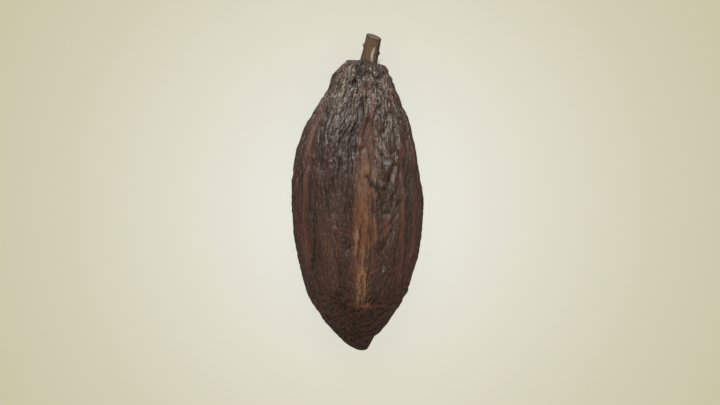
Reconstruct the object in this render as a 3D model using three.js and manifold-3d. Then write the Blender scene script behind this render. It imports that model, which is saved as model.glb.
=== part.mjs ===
// A dried cacao pod with its woody stalk, laid down on the small flat spot that it rests on.
//
// The pod lies along Y: its blunt beak points to -Y and its crown, with the stalk, to +Y. +Z is up.
// Every point of the husk is worked out from a station (mm along the pod from the beak's end) and an
// angle (degrees round the pod, 0 on top, positive towards +X). A smooth profile gives the radius there,
// and ribs, folds, swellings and wrinkles raise or lower the skin from it.
//
// Lengths are in millimetres and angles in degrees, unless a name says otherwise.

import * as THREE from "three";
import { mergeVertices } from "three/addons/utils/BufferGeometryUtils.js";
import Module from "manifold-3d";

// ---------------------------------------------------------------- driving dimensions

const THICKNESS_SHARE = 0.95; // the pod is a little flatter than it is wide
const FLAT_SPOT_DEPTH = 0.9; // how far the resting spot is cut into the round underside
const FLAT_SPOT_STATION = 88; // where along the pod it lies: under the centre of mass
const FLAT_SPOT_HALF = { along: 24, across: 15 }; // stretch of skin round it that is free of wrinkles
const FLAT_SPOT_EDGE = [0.55, 1.3]; // shares of that stretch over which the relief sets in
const FIT_GAP = 0.3; // clear gap between the stalk and its socket

// The profile from the beak to the bottom of the pit in the crown: [station, radius].
const PROFILE = [
  [0, 0],
  [0.9, 4],
  [3.2, 7],
  [8.5, 11],
  [15, 16.5],
  [24, 23.1],
  [36, 30],
  [54, 35],
  [72, 38.1],
  [90, 38.9],
  [108, 37.3],
  [122, 34.4],
  [134, 30.9],
  [145, 25.7],
  [155, 20.6],
  [163, 17.4],
  [168, 14.7],
  [171, 12],
  [172.8, 8.8],
  [172, 6.4],
  [170, 4.2],
  [169.4, 0],
];
const LEAST_RADIUS = 0.3; // of a ring next to the point that closes an end
const PIT_SHARES = [0.94, 0.975]; // shares of the profile's length over which the pit's smooth floor begins

// How far the pod's own middle line swings towards +X: [station, shift].
const CENTRE_LINE = [
  [0, 3],
  [5, 1],
  [10, 0.2],
  [22, -0.7],
  [45, -0.1],
  [62, 1],
  [90, 0],
  [102, -0.9],
  [114, -0.2],
  [126, -0.2],
  [142, 1.7],
  [156, 3.4],
  [166, 4],
  [176, 5.6],
];

const CROWN_TILT = 0.15; // the crown leans towards +X: millimetres down for each millimetre across
const CROWN_TILT_STRETCH = [148, 174]; // stations between which the lean sets in

// The ten ribs: the angle they run at, how high they stand, and half their width.
const RIBS = [
  { at: -172, high: 1.2, half: 13 },
  { at: -136, high: 1.7, half: 13 },
  { at: -99, high: 1.4, half: 12 },
  { at: -68, high: 1.1, half: 9 },
  { at: -29, high: 1.9, half: 15 },
  { at: 5, high: 1.5, half: 7 },
  { at: 33, high: 1.3, half: 10 },
  { at: 74, high: 1.4, half: 13 },
  { at: 110, high: 1.5, half: 12 },
  { at: 148, high: 1.7, half: 13 },
];
const RIB_WANDER = 2.5; // degrees that a rib swings to each side
const RIB_WANDER_LENGTH = 130;
const RIB_MEAN_HEIGHT = 0.8; // taken off again, so that ribs don't swell the outline
const RIB_ONSET = [6, 48]; // stations between which the ribs rise out of the beak
const RIB_FADE = { stretch: [150, 172], share: 0.35 }; // the share that they lose towards the crown

// Folds and strands that stand out one by one: [station, angle] points, half width, and height,
// which is negative for a crease.
const FOLDS = [
  // the furrow beside the front rib, from the crown to below the middle
  { path: [[156, 6], [141, -3], [120, -5], [93, -7], [63, -10]], half: 3.0, high: -1.5 },
  // the furrow under the smooth band on the left, and the long crease that leaves it lower down
  { path: [[142, -50], [122, -49], [99, -47], [84, -48]], half: 2.6, high: -0.9 },
  { path: [[92, -38], [75, -43], [60, -48], [49, -53]], half: 2.0, high: -0.8 },
  // the bold crossing folds to the right of the front rib
  { path: [[122, 19], [117, 24], [114, 29]], half: 2.2, high: -1.0 },
  { path: [[103, 11], [96, 17], [88, 22], [78, 23]], half: 2.2, high: -1.1 },
  { path: [[110, 39], [104, 31], [93, 26], [82, 24]], half: 2.2, high: -1.0 },
  { path: [[108, 46], [97, 39], [90, 32], [82, 28]], half: 2.2, high: -0.9 },
  { path: [[88, 38], [77, 32], [68, 27], [60, 21]], half: 2.2, high: -0.8 },
  { path: [[119, 27], [112, 30], [104, 25], [97, 22]], half: 3.2, high: 0.6 },
  // a low saddle that bridges the wrinkles on the left
  { path: [[115, -46], [114, -34], [113, -26], [116, -18]], half: 2.4, high: 0.9 },
  // the long groove down the right side
  { path: [[128, 61], [105, 56], [84, 51], [60, 53], [40, 60]], half: 2.6, high: -0.8 },
  // the crown: lobes, the pits beside the stalk, and the strand that runs down from it
  { path: [[168.5, -19], [166, -15], [163, -13], [158.5, -20], [149, -31]], half: 2.0, high: -1.4 },
  { path: [[173, 18], [167, 15], [161, 17], [155, 19], [148, 20]], half: 1.8, high: 1.2 },
  { path: [[172, -8], [168.5, -3], [165, -6]], half: 2.4, high: -0.9 },
  { path: [[171, 39], [168, 42], [165, 41]], half: 2.4, high: -1.3 },
  { path: [[172, 86], [170, 84]], half: 2.4, high: 1.2 },
  { path: [[172, -70], [169, -92]], half: 2.6, high: -1.3 },
  { path: [[167, 78], [165, 90]], half: 2.0, high: -0.9 },
  { path: [[172, -120], [165, -112], [158, -118]], half: 2.6, high: -1.3 },
  { path: [[172, 150], [165, 158], [156, 150]], half: 2.6, high: -1.3 },
  { path: [[163, -94], [158.5, -90]], half: 2.4, high: 0.9 },
  { path: [[157.5, -92], [157.5, -62], [154.5, -36]], half: 2.4, high: -0.9 },
  // where the front rib ends above the beak, and the notch in the left side there
  { path: [[22, -18], [25, -4], [25, 8], [30, 24]], half: 2.2, high: -0.8 },
  { path: [[23, -98], [22.5, -80], [20, -45]], half: 1.8, high: -1.0 },
  { path: [[7.5, 62], [7.5, 90], [8, 116]], half: 2.6, high: -1.1 },
  // slight swellings of the sides above the beak, and of the beak's left
  { path: [[48, 92], [41, 92]], half: 3.2, high: 0.8 },
  { path: [[70, -92], [64, -92]], half: 3.2, high: 0.5 },
  { path: [[12, -92], [8, -88]], half: 2.2, high: 0.6 },
  // the back, in the same manner
  { path: [[150, -155], [120, -153], [92, -150], [60, -156]], half: 2.8, high: -1.4 },
  { path: [[134, -118], [108, -120], [96, -114], [70, -117]], half: 2.6, high: -1.3 },
  { path: [[112, -104], [103, -110], [93, -117]], half: 2.4, high: -1.3 },
  { path: [[140, 92], [118, 93], [92, 90], [60, 94]], half: 2.6, high: -1.2 },
  { path: [[106, 108], [97, 101], [86, 94]], half: 2.4, high: -1.3 },
  { path: [[144, 130], [116, 128], [88, 131], [52, 128]], half: 2.8, high: -1.5 },
  { path: [[126, 160], [112, 152], [100, 143], [86, 133]], half: 2.4, high: -1.3 },
];

// Swellings and wrinkles: lengths of one bump across and along the pod, and height.
const SWELL = { across: 24, along: 46, high: 2.2, seed: 11 };
const WRINKLE = { across: 7.5, along: 32, high: 2.8, seed: 23 };
const WRINKLE_MEAN = 0.5; // the mean of the wrinkles' shape, taken off again
const WRINKLE_ROUNDING = 0.02; // keeps the bottom of a crease from being infinitely sharp
const WRINKLE_ONSET = [4, 30]; // stations between which the wrinkles set in
const LOWER_WRINKLES = { stretch: [72, 118], share: 0.45 }; // what they keep of their height lower down
const BEND = { across: 15, along: 22, warp: 0.9 }; // how quickly, and how far, the wrinkles change course
const CRUMPLE = { across: 6, along: 9, high: 1.5, seed: 37 }; // short bumps, on the beak and the crown
const CRUMPLE_MIDDLE = 0.25; // what the short bumps keep of their height in the middle
const CRUMPLE_BEAK = [14, 45];
const CRUMPLE_CROWN = [135, 160];
const END_RADIUS = 7; // below this radius of the profile, all relief fades out

// The stalk: middle of its lower end inside the pod, middle of its cut end, and radii along it.
const STEM_FOOT = { across: 4.7, station: 163, up: -1.2 };
const STEM_CUT = { across: 10, station: 187.7, up: 5.4 };
const STEM_RADII = [
  [0, 4.5],
  [0.3, 4.9],
  [0.46, 5.3],
  [0.56, 5.1],
  [0.75, 4.85],
  [1, 4.65],
];
const STEM_CUT_LEAN = { across: 0.36, up: 0.42 }; // how far the cut face's normal leans from +Y
const STEM_LEAN_FROM = 0.5; // share of its length where the rings begin to lean into the cut's plane
const STEM_CORNERS = 3;
const STEM_CORNER_HEIGHT = 0.12;
const STEM_GRAIN = { high: 0.14, around: 0.9, along: 3, seed: 5, stretch: [0.3, 0.6] };
// Scars of side shoots: share of the stalk's length, angle round it, half width and height.
const STEM_KNOTS = [
  { at: 0.75, angle: -84, half: 0.9, high: 0.9 },
  { at: 0.66, angle: 86, half: 0.95, high: 1.1 },
  { at: 0.7, angle: 190, half: 1.2, high: 0.6 },
];

// Faces: rings along each piece and points round it.
const POD_RINGS = 50;
const POD_AROUND = 112;
const POD_RING_EASE = 0.5; // rings are closer together at the beak and the crown
const STEM_RINGS = 20;
const STEM_AROUND = 26;
const PROFILE_STEPS = 800; // divisions by which the profile's length is measured

const HUSK_COLOUR = 0x47342b;
const BARK_COLOUR = 0x6c5844;

// ---------------------------------------------------------------- small helpers

const radians = THREE.MathUtils.degToRad;
const smooth = THREE.MathUtils.smoothstep;
const bell = (x) => Math.exp(-x * x);

/** The difference between two angles, from -180 to 180 degrees. */
const turn = (a, b) => THREE.MathUtils.euclideanModulo(a - b + 180, 360) - 180;

/** The value at x of a smooth curve through [x, value] points, flat at both ends. */
function along(points, x) {
  let i = 0;
  while (i < points.length - 2 && x > points[i + 1][0]) i += 1;
  const [x0, v0] = points[i];
  const [x1, v1] = points[i + 1];
  return v0 + (v1 - v0) * smooth(x, x0, x1);
}

// Noise on a lattice: one repeatable number from 0 to 1 for each lattice point, blended smoothly between.
const MIX_A = 374761393;
const MIX_B = 668265263;
const MIX_C = 1274126177;
const MIX_D = 2246822519;

function latticeValue(x, y, z, seed) {
  let h = Math.imul(x, MIX_A) + Math.imul(y, MIX_B) + Math.imul(z, MIX_C) + Math.imul(seed, MIX_D);
  h = Math.imul(h ^ (h >>> 15), MIX_D);
  h = Math.imul(h ^ (h >>> 13), MIX_C);
  return ((h ^ (h >>> 16)) >>> 0) / 2 ** 32;
}

const ease = (t) => t * t * t * (t * (t * 6 - 15) + 10);

/** Smooth noise from -1 to 1 at a point. */
function noise(x, y, z, seed) {
  const [ix, iy, iz] = [Math.floor(x), Math.floor(y), Math.floor(z)];
  const [fx, fy, fz] = [ease(x - ix), ease(y - iy), ease(z - iz)];
  let sum = 0;
  for (const [dx, wx] of [[0, 1 - fx], [1, fx]]) {
    for (const [dy, wy] of [[0, 1 - fy], [1, fy]]) {
      for (const [dz, wz] of [[0, 1 - fz], [1, fz]]) {
        sum += wx * wy * wz * latticeValue(ix + dx, iy + dy, iz + dz, seed);
      }
    }
  }
  return 2 * sum - 1;
}

// ---------------------------------------------------------------- the skin's relief

/** Height of the ribs at a station and angle. */
function ribs(station, angle) {
  const strength = smooth(station, ...RIB_ONSET) * (1 - RIB_FADE.share * smooth(station, ...RIB_FADE.stretch));
  let height = -RIB_MEAN_HEIGHT;
  RIBS.forEach((rib, i) => {
    const at = rib.at + RIB_WANDER * Math.sin((2 * Math.PI * station) / RIB_WANDER_LENGTH + 2 * i);
    height += rib.high * bell(turn(angle, at) / rib.half);
  });
  return strength * height;
}

/** Distance on the skin, in mm, from a point to a fold's path. */
function distanceToPath(path, station, angle, radius) {
  const perDegree = radians(1) * Math.max(radius, 1);
  let nearest = Infinity;
  for (let i = 0; i < path.length - 1; i += 1) {
    const [s0, a0] = path[i];
    const [s1, a1] = path[i + 1];
    const [ds, da] = [s1 - s0, (a1 - a0) * perDegree];
    const [ps, pa] = [station - s0, turn(angle, a0) * perDegree];
    const share = THREE.MathUtils.clamp((ps * ds + pa * da) / (ds * ds + da * da), 0, 1);
    nearest = Math.min(nearest, Math.hypot(ps - share * ds, pa - share * da));
  }
  return nearest;
}

/** Height that the folds and strands add together. */
function folds(station, angle, radius) {
  return FOLDS.reduce(
    (sum, fold) => sum + fold.high * bell(distanceToPath(fold.path, station, angle, radius) / fold.half),
    0,
  );
}

/** Noise with bumps of a size in mm, taken a little to the side where shift and lift say. */
function noiseOfSize(size, seed, x, station, z, shift = 0, lift = 0) {
  return noise(x / size.across + shift, station / size.along + lift, z / size.across - lift, seed);
}

/** Height of the swellings, the long wrinkles and the short crumpled bumps. */
function shrivelling(x, station, z) {
  const swell = noiseOfSize(SWELL, SWELL.seed, x, station, z);
  const shift = BEND.warp * noiseOfSize(BEND, WRINKLE.seed + 1, x, station, z);
  const lift = BEND.warp * noiseOfSize(BEND, WRINKLE.seed + 2, x, station, z);
  const crease = noiseOfSize(WRINKLE, WRINKLE.seed, x, station, z, shift, lift);
  const crumple = noiseOfSize(CRUMPLE, CRUMPLE.seed, x, station, z);
  const higherUp = smooth(station, ...LOWER_WRINKLES.stretch);
  const kept = LOWER_WRINKLES.share + (1 - LOWER_WRINKLES.share) * higherUp;
  const wrinkleShare = smooth(station, ...WRINKLE_ONSET) * kept;
  const atEnds = 1 - smooth(station, ...CRUMPLE_BEAK) + smooth(station, ...CRUMPLE_CROWN);
  const crumpleShare = CRUMPLE_MIDDLE + (1 - CRUMPLE_MIDDLE) * atEnds;
  return (
    (SWELL.high / 2) * swell +
    WRINKLE.high * wrinkleShare * (Math.sqrt(Math.abs(crease) + WRINKLE_ROUNDING) - WRINKLE_MEAN) +
    (CRUMPLE.high / 2) * crumpleShare * crumple
  );
}

/** 1 on the skin, falling to 0 on the smooth stretch round the flat spot. */
function awayFromFlatSpot(station, angle, radius) {
  const across = (radians(1) * radius * turn(angle, 180)) / FLAT_SPOT_HALF.across;
  const lengthwise = (station - FLAT_SPOT_STATION) / FLAT_SPOT_HALF.along;
  return smooth(Math.hypot(across, lengthwise), ...FLAT_SPOT_EDGE);
}

// ---------------------------------------------------------------- geometry

/** A closed geometry from rings of points, shut by one point at each end. */
function loft(first, rings, last) {
  const around = rings[0].length;
  const points = [first, ...rings.flat(), last];
  const faces = [];
  const at = (ring, i) => 1 + ring * around + (i % around);
  for (let i = 0; i < around; i += 1) {
    faces.push(0, at(0, i + 1), at(0, i));
    for (let ring = 0; ring < rings.length - 1; ring += 1) {
      const [a, b, c, d] = [at(ring, i), at(ring, i + 1), at(ring + 1, i), at(ring + 1, i + 1)];
      // The shorter diagonal keeps creases crisp.
      const cut = points[a].distanceTo(points[d]) < points[b].distanceTo(points[c]);
      faces.push(...(cut ? [a, b, d, a, d, c] : [a, b, c, b, d, c]));
    }
    faces.push(points.length - 1, at(rings.length - 1, i), at(rings.length - 1, i + 1));
  }
  const geometry = new THREE.BufferGeometry().setFromPoints(points);
  geometry.setIndex(faces);
  return geometry;
}

/** The husk's skin at a point of the profile: its station and radius, and an angle. */
function huskPoint(station, radius, angle, inPit) {
  const [sine, cosine] = [Math.sin(radians(angle)), Math.cos(radians(angle))];
  const nearEnd = smooth(radius, 0, END_RADIUS) * (1 - inPit);
  const height =
    nearEnd *
    (ribs(station, angle) +
      awayFromFlatSpot(station, angle, radius) *
        (folds(station, angle, radius) + shrivelling(radius * sine, station, radius * cosine)));
  const x = (radius + height) * sine;
  const tilt = CROWN_TILT * smooth(station, ...CROWN_TILT_STRETCH);
  return new THREE.Vector3(
    along(CENTRE_LINE, station) + x,
    station - tilt * x,
    (THICKNESS_SHARE * radius + height) * cosine,
  );
}

/** The husk, lying along Y with its axis at height 0. */
function huskGeometry() {
  const curve = new THREE.CatmullRomCurve3(
    PROFILE.map(([station, radius]) => new THREE.Vector3(station, radius, 0)),
    false,
    "centripetal",
  );
  curve.arcLengthDivisions = PROFILE_STEPS;
  const pitStation = PROFILE[PROFILE.length - 1][0];
  const rings = [];
  for (let i = 1; i <= POD_RINGS; i += 1) {
    const share = i / (POD_RINGS + 1);
    const eased = share - (POD_RING_EASE * Math.sin(2 * Math.PI * share)) / (2 * Math.PI);
    const { x: station, y: radius } = curve.getPointAt(eased);
    const inPit = station > pitStation ? smooth(eased, ...PIT_SHARES) : 0;
    rings.push(
      Array.from({ length: POD_AROUND }, (_, k) =>
        huskPoint(station, Math.max(radius, LEAST_RADIUS), (360 * k) / POD_AROUND, inPit),
      ),
    );
  }
  return loft(huskPoint(0, 0, 0, 0), rings, huskPoint(pitStation, 0, 0, 1));
}

/** Cuts the flat spot: what would reach below it is moved up to it. Returns the spot's height. */
function flattenUnderside(geometry) {
  geometry.computeBoundingBox();
  const floor = geometry.boundingBox.min.z + FLAT_SPOT_DEPTH;
  const position = geometry.attributes.position;
  for (let i = 0; i < position.count; i += 1) {
    position.setZ(i, Math.max(position.getZ(i), floor));
  }
  return floor;
}

/** The stalk, or with a margin the space that it needs in the pod. */
function stemGeometry(margin) {
  const foot = new THREE.Vector3(STEM_FOOT.across, STEM_FOOT.station, STEM_FOOT.up);
  const cut = new THREE.Vector3(STEM_CUT.across, STEM_CUT.station, STEM_CUT.up);
  const axis = cut.clone().sub(foot).normalize();
  const length = cut.distanceTo(foot);
  const right = new THREE.Vector3().crossVectors(axis, new THREE.Vector3(0, 0, 1)).normalize();
  const up = new THREE.Vector3().crossVectors(right, axis);
  const cutNormal = new THREE.Vector3(STEM_CUT_LEAN.across, 1, STEM_CUT_LEAN.up).normalize();
  const rings = [];
  for (let ring = 0; ring < STEM_RINGS; ring += 1) {
    const share = ring / (STEM_RINGS - 1);
    rings.push(
      Array.from({ length: STEM_AROUND }, (_, k) => {
        const angle = (360 * k) / STEM_AROUND;
        let radius = along(STEM_RADII, share) + margin;
        radius += STEM_CORNER_HEIGHT * Math.cos(STEM_CORNERS * radians(angle) + 1 + share);
        const grain = noise(k * STEM_GRAIN.around, share * STEM_GRAIN.along, 0, STEM_GRAIN.seed);
        radius += STEM_GRAIN.high * grain * smooth(share, ...STEM_GRAIN.stretch);
        for (const knot of STEM_KNOTS) {
          const aside = radians(turn(angle, knot.angle)) * radius;
          const off = Math.hypot(aside, (share - knot.at) * length) / knot.half;
          radius += knot.high * bell(off);
        }
        const offset = new THREE.Vector3()
          .addScaledVector(right, radius * Math.sin(radians(angle)))
          .addScaledVector(up, radius * Math.cos(radians(angle)));
        // Towards the cut end the rings lean over into the plane of the cut.
        const lean = (-offset.dot(cutNormal) / axis.dot(cutNormal)) * smooth(share, STEM_LEAN_FROM, 1);
        return foot.clone().addScaledVector(axis, share * length - (1 - share) * margin + lean).add(offset);
      }),
    );
  }
  return loft(foot.clone().addScaledVector(axis, -margin), rings, cut);
}

// ---------------------------------------------------------------- cutting the stalk's socket

const wasm = await Module();
wasm.setup();

function toSolid(geometry) {
  const merged = mergeVertices(geometry);
  return new wasm.Manifold(
    new wasm.Mesh({
      numProp: 3,
      vertProperties: merged.attributes.position.array,
      triVerts: new Uint32Array(merged.index.array),
    }),
  );
}

function toGeometry(solid) {
  const mesh = solid.getMesh();
  const geometry = new THREE.BufferGeometry();
  geometry.setAttribute("position", new THREE.BufferAttribute(mesh.vertProperties, 3));
  geometry.setIndex(new THREE.BufferAttribute(mesh.triVerts, 1));
  geometry.computeVertexNormals();
  return geometry;
}

// ---------------------------------------------------------------- assembly

const husk = huskGeometry();
const floor = flattenUnderside(husk);
const socketed = toGeometry(toSolid(husk).subtract(toSolid(stemGeometry(FIT_GAP))));

const pod = new THREE.Mesh(
  socketed,
  new THREE.MeshStandardMaterial({ color: HUSK_COLOUR, roughness: 0.5, metalness: 0 }),
);
pod.name = "pod";

const stemShape = stemGeometry(0);
stemShape.computeVertexNormals();
const stem = new THREE.Mesh(
  stemShape,
  new THREE.MeshStandardMaterial({ color: BARK_COLOUR, roughness: 0.8, metalness: 0 }),
);
stem.name = "stem";

// The origin is the bottom centre of the box round pod and stalk.
const cacaoPod = new THREE.Group();
cacaoPod.add(pod, stem);
const box = new THREE.Box3().setFromObject(cacaoPod);
cacaoPod.position.set(-(box.min.x + box.max.x) / 2, -(box.min.y + box.max.y) / 2, -floor);

export default cacaoPod;
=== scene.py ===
# %% [markdown]
# # A dried cacao pod
# A ripe cacao pod that has dried out is a good lesson in organic surfaces: one closed husk with ten
# ribs, skin that has shrivelled into long wrinkles, a blunt beak, a lumpy crown and a sawn-off stalk.
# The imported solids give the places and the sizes. This notebook dresses them: a fine skin for the
# husk, bark for the stalk, and the few fibres of lint that cling to it.

# %% The frame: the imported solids, loaded once and never moved
import math

import bmesh
import bpy
import numpy as np
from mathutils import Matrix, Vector


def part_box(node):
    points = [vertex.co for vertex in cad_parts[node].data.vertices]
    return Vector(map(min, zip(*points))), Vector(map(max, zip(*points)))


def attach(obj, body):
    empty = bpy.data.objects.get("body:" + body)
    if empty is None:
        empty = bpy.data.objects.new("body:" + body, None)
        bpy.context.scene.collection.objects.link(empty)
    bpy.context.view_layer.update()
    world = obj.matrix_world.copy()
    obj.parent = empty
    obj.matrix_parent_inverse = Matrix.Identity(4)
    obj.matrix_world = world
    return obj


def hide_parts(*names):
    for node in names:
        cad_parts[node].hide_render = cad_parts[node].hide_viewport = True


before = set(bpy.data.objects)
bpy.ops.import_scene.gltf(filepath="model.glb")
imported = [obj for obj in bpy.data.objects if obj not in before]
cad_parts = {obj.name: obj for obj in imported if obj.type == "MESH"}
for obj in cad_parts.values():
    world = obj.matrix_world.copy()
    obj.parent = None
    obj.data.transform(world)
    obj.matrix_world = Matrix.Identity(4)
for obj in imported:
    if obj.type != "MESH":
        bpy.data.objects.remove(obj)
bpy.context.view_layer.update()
pod_low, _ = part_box("pod")
MM = 0.001

# %% [markdown]
# ## The camera
# The pod lies down and is looked at from straight above, with the stalk at the top of the picture.
# A long lens a metre away keeps the outline almost free of perspective, as a product shot does. The
# camera comes first, because everything that follows is judged through it.

# %% Camera
AXIS_X = 0.04  # mm, where the pod's own axis lies in the frame
AXIS_HEIGHT = 36.37  # mm above the surface that the pod rests on
BEAK_END = pod_low.y / MM  # mm, the end of the beak, from which stations are counted
PICTURE_WIDTH = 432  # mm that the picture spans at the height of the axis
CAMERA_DISTANCE = 1000  # mm above the axis
SENSOR = 36  # mm wide
AIM_ACROSS, AIM_STATION = 1.8, 88.8  # mm from the axis and from the beak to the middle of the picture
NEAREST, FARTHEST = 0.01, 10  # m, the distances between which the camera sees

scene = bpy.context.scene
camera = bpy.data.objects.new("camera", bpy.data.cameras.new("camera"))
scene.collection.objects.link(camera)
camera.location = Vector((AXIS_X + AIM_ACROSS, BEAK_END + AIM_STATION, AXIS_HEIGHT + CAMERA_DISTANCE)) * MM
camera.data.sensor_width = SENSOR
camera.data.lens = SENSOR * CAMERA_DISTANCE / PICTURE_WIDTH
camera.data.clip_start = NEAREST
camera.data.clip_end = FARTHEST
scene.camera = camera
print("lens:", round(camera.data.lens, 1), "mm")

# %% [markdown]
# ## Soft steps and bells
# Nearly every shape on a fruit can be said with two curves: a soft step, which goes evenly from one
# state to another, and a bell, which is high in one place and fades out on both sides. A step up and
# a step down make a plateau.

# %% Curves
def smooth(x, low, high):
    """0 below low, 1 above high, and an even curve between."""
    t = np.clip((np.asarray(x, float) - low) / (high - low), 0, 1)
    return t * t * (3 - 2 * t)


def plateau(x, rise, fall):
    """1 between a rise and a fall, each given as where it starts and ends, and 0 outside them."""
    return smooth(x, *rise) * (1 - smooth(x, *fall))


def bell(x):
    """1 at 0, about a third at 1, and almost nothing from 2 on."""
    return np.exp(-np.square(x))


def turn(a, b):
    """The angle from b to a, from -180 to 180 degrees."""
    return np.mod(a - b + 180, 360) - 180


def along(points, x):
    """The value at x of a smooth curve through (x, value) points, flat at each point."""
    x = np.asarray(x, float)
    value = np.full(x.shape, float(points[0][1]))
    for (x0, v0), (x1, v1) in zip(points, points[1:]):
        value = np.where(x >= x0, v0 + (v1 - v0) * smooth(x, x0, x1), value)
    return value


print("a step at its quarters:", smooth([0.25, 0.5, 0.75], 0, 1).tolist())

# %% [markdown]
# ## The outline of the husk
# The pod is turned round its axis from one profile, a smooth curve of radius against station. It
# runs over the rim of the crown and down into the pit that the stalk stands in. A centripetal curve
# through a few points never overshoots, so the rim stays round.

# %% Profile
PROFILE = [
    (0, 0), (0.9, 4), (3.2, 7), (8.5, 11), (15, 16.5), (24, 23.1), (36, 30), (54, 35),
    (72, 38.1), (90, 38.9), (108, 37.3), (122, 34.4), (134, 30.9), (145, 25.7), (155, 20.6),
    (163, 17.4), (168, 14.7), (171, 12), (172.8, 8.8), (172, 6.4), (170, 4.2), (169.4, 0),
]  # station and radius in mm
STEPS_IN_SPAN = 60  # points of the curve between two given ones


def centripetal_curve(points):
    """Many points of a centripetal Catmull-Rom curve through the given ones."""
    given = np.array(points, float)
    p = np.vstack([2 * given[0] - given[1], given, 2 * given[-1] - given[-2]])
    spans = []
    for p0, p1, p2, p3 in zip(p, p[1:], p[2:], p[3:]):
        steps = (p1 - p0, p2 - p1, p3 - p2)
        t1, t2, t3 = np.cumsum([math.sqrt(np.linalg.norm(step)) for step in steps])
        t = np.linspace(t1, t2, STEPS_IN_SPAN, endpoint=False)[:, None]
        a1 = ((t1 - t) * p0 + t * p1) / t1
        a2 = ((t2 - t) * p1 + (t - t1) * p2) / (t2 - t1)
        a3 = ((t3 - t) * p2 + (t - t2) * p3) / (t3 - t2)
        b1 = ((t2 - t) * a1 + t * a2) / t2
        b2 = ((t3 - t) * a2 + (t - t1) * a3) / (t3 - t1)
        spans.append(((t2 - t) * b1 + (t - t1) * b2) / (t2 - t1))
    return np.vstack([*spans, given[-1:]])


outline = centripetal_curve(PROFILE)
skin_length = np.concatenate([[0], np.cumsum(np.linalg.norm(np.diff(outline, axis=0), axis=1))])
print("widest radius in mm:", round(outline[:, 1].max(), 1), "skin from end to end:", round(skin_length[-1]))

# %% [markdown]
# ## A grid of places on the skin
# Every place on the husk has a *station*, in millimetres along the pod from the end of the beak, and
# an *angle* round it, in degrees, 0 on top and positive towards +X. The skin is a grid of both: even
# rings by length of skin, and columns that lie closer together on top, where the pod is looked at.
# Each measure of the skin is then one array of numbers, worked out for all the places at once.

# %% The grid
SKIN_RINGS, SKIN_COLUMNS = 264, 372
CROWDING_ON_TOP = 0.35
LEAST_RADIUS = 0.3  # mm, so that every place keeps a direction from the axis
PIT_SHARES = (0.94, 0.975)  # shares of the skin's length over which the pit's smooth floor begins
DRAWN_FROM, DRAWN_OUT = 148, 0.55  # mm of skin, beyond which patterns are drawn out along the pod

share_around = np.arange(SKIN_COLUMNS) / SKIN_COLUMNS
column_angles = 360 * (share_around - CROWDING_ON_TOP * np.sin(2 * np.pi * share_around) / (2 * np.pi))
ring_arcs = skin_length[-1] * np.arange(1, SKIN_RINGS + 1) / (SKIN_RINGS + 1)
arc, angle = np.meshgrid(ring_arcs, column_angles, indexing="ij")
station = np.interp(arc, skin_length, outline[:, 0])
radius = np.maximum(np.interp(arc, skin_length, outline[:, 1]), LEAST_RADIUS)
sine, cosine = np.sin(np.radians(angle)), np.cos(np.radians(angle))
across, up = radius * sine, radius * cosine
in_pit = np.where(station > PROFILE[-1][0], smooth(arc / skin_length[-1], *PIT_SHARES), 0.0)
drawn_arc = arc - (1 - DRAWN_OUT) * np.maximum(arc - DRAWN_FROM, 0)
print("places on the skin:", station.shape)

# %% [markdown]
# ## Noise that is the same on every run
# Skin has no two bumps alike, yet the script must give one shape each time. Lattice noise does both:
# a fixed mixing of whole numbers gives each lattice point a value, and the values are blended smoothly
# between the points. Stretching the lattice along the pod turns round bumps into long ones.

# %% Lattice noise
MIX = [np.uint32(n) for n in (374761393, 668265263, 1274126177, 2246822519)]  # large odd multipliers


def lattice_value(x, y, z, seed):
    """A value from 0 to 1 for each lattice point, by mixing the bits of its whole numbers."""
    x, y, z = (v.astype(np.int64).astype(np.uint32) for v in (x, y, z))
    with np.errstate(over="ignore"):
        h = x * MIX[0] + y * MIX[1] + z * MIX[2] + np.uint32(seed) * MIX[3]
        h = (h ^ (h >> np.uint32(15))) * MIX[3]
        h = (h ^ (h >> np.uint32(13))) * MIX[2]
    return (h ^ (h >> np.uint32(16))) / 2.0**32


def noise(x, y, z, seed):
    """Smooth noise from -1 to 1 at each point."""
    corner = [np.floor(v) for v in (x, y, z)]
    blend = [t * t * t * (t * (t * 6 - 15) + 10) for t in (v - c for v, c in zip((x, y, z), corner))]
    total = 0
    for offset in np.ndindex(2, 2, 2):
        weight = 1
        for step, share in zip(offset, blend):
            weight = weight * (share if step else 1 - share)
        total = total + weight * lattice_value(*(c + step for c, step in zip(corner, offset)), seed)
    return 2 * total - 1


print("noise at one place:", round(float(noise(*np.array([[0.3], [1.7], [2.2]]), 5)[0]), 4))

# %% [markdown]
# ## Ribs and furrows
# A cacao fruit has five carpels, and each shows as a pair of ribs, so there are ten. They are bells
# of height round the pod that wander a little from side to side and fade out on the beak.

# %% Ribs
RIBS = [
    (-172, 1.2, 13), (-136, 1.7, 13), (-99, 1.4, 12), (-68, 1.1, 9), (-29, 1.9, 15),
    (5, 1.5, 7), (33, 1.3, 10), (74, 1.4, 13), (110, 1.5, 12), (148, 1.7, 13),
]  # angle, height in mm, half width in degrees
RIB_WANDER, RIB_WANDER_LENGTH = 2.5, 130  # degrees to each side, and mm from one wander to the next
RIB_TURN = 2  # radians from one rib's wander to the next one's
RIB_MEAN_HEIGHT = 0.8  # mm, taken off again so that the husk keeps its girth
RIBS_BEGIN = (6, 48)  # stations between which the ribs come in
RIBS_SINK, RIBS_SINK_BY = (150, 172), 0.35  # stations on the crown, and the share that is lost there

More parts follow.
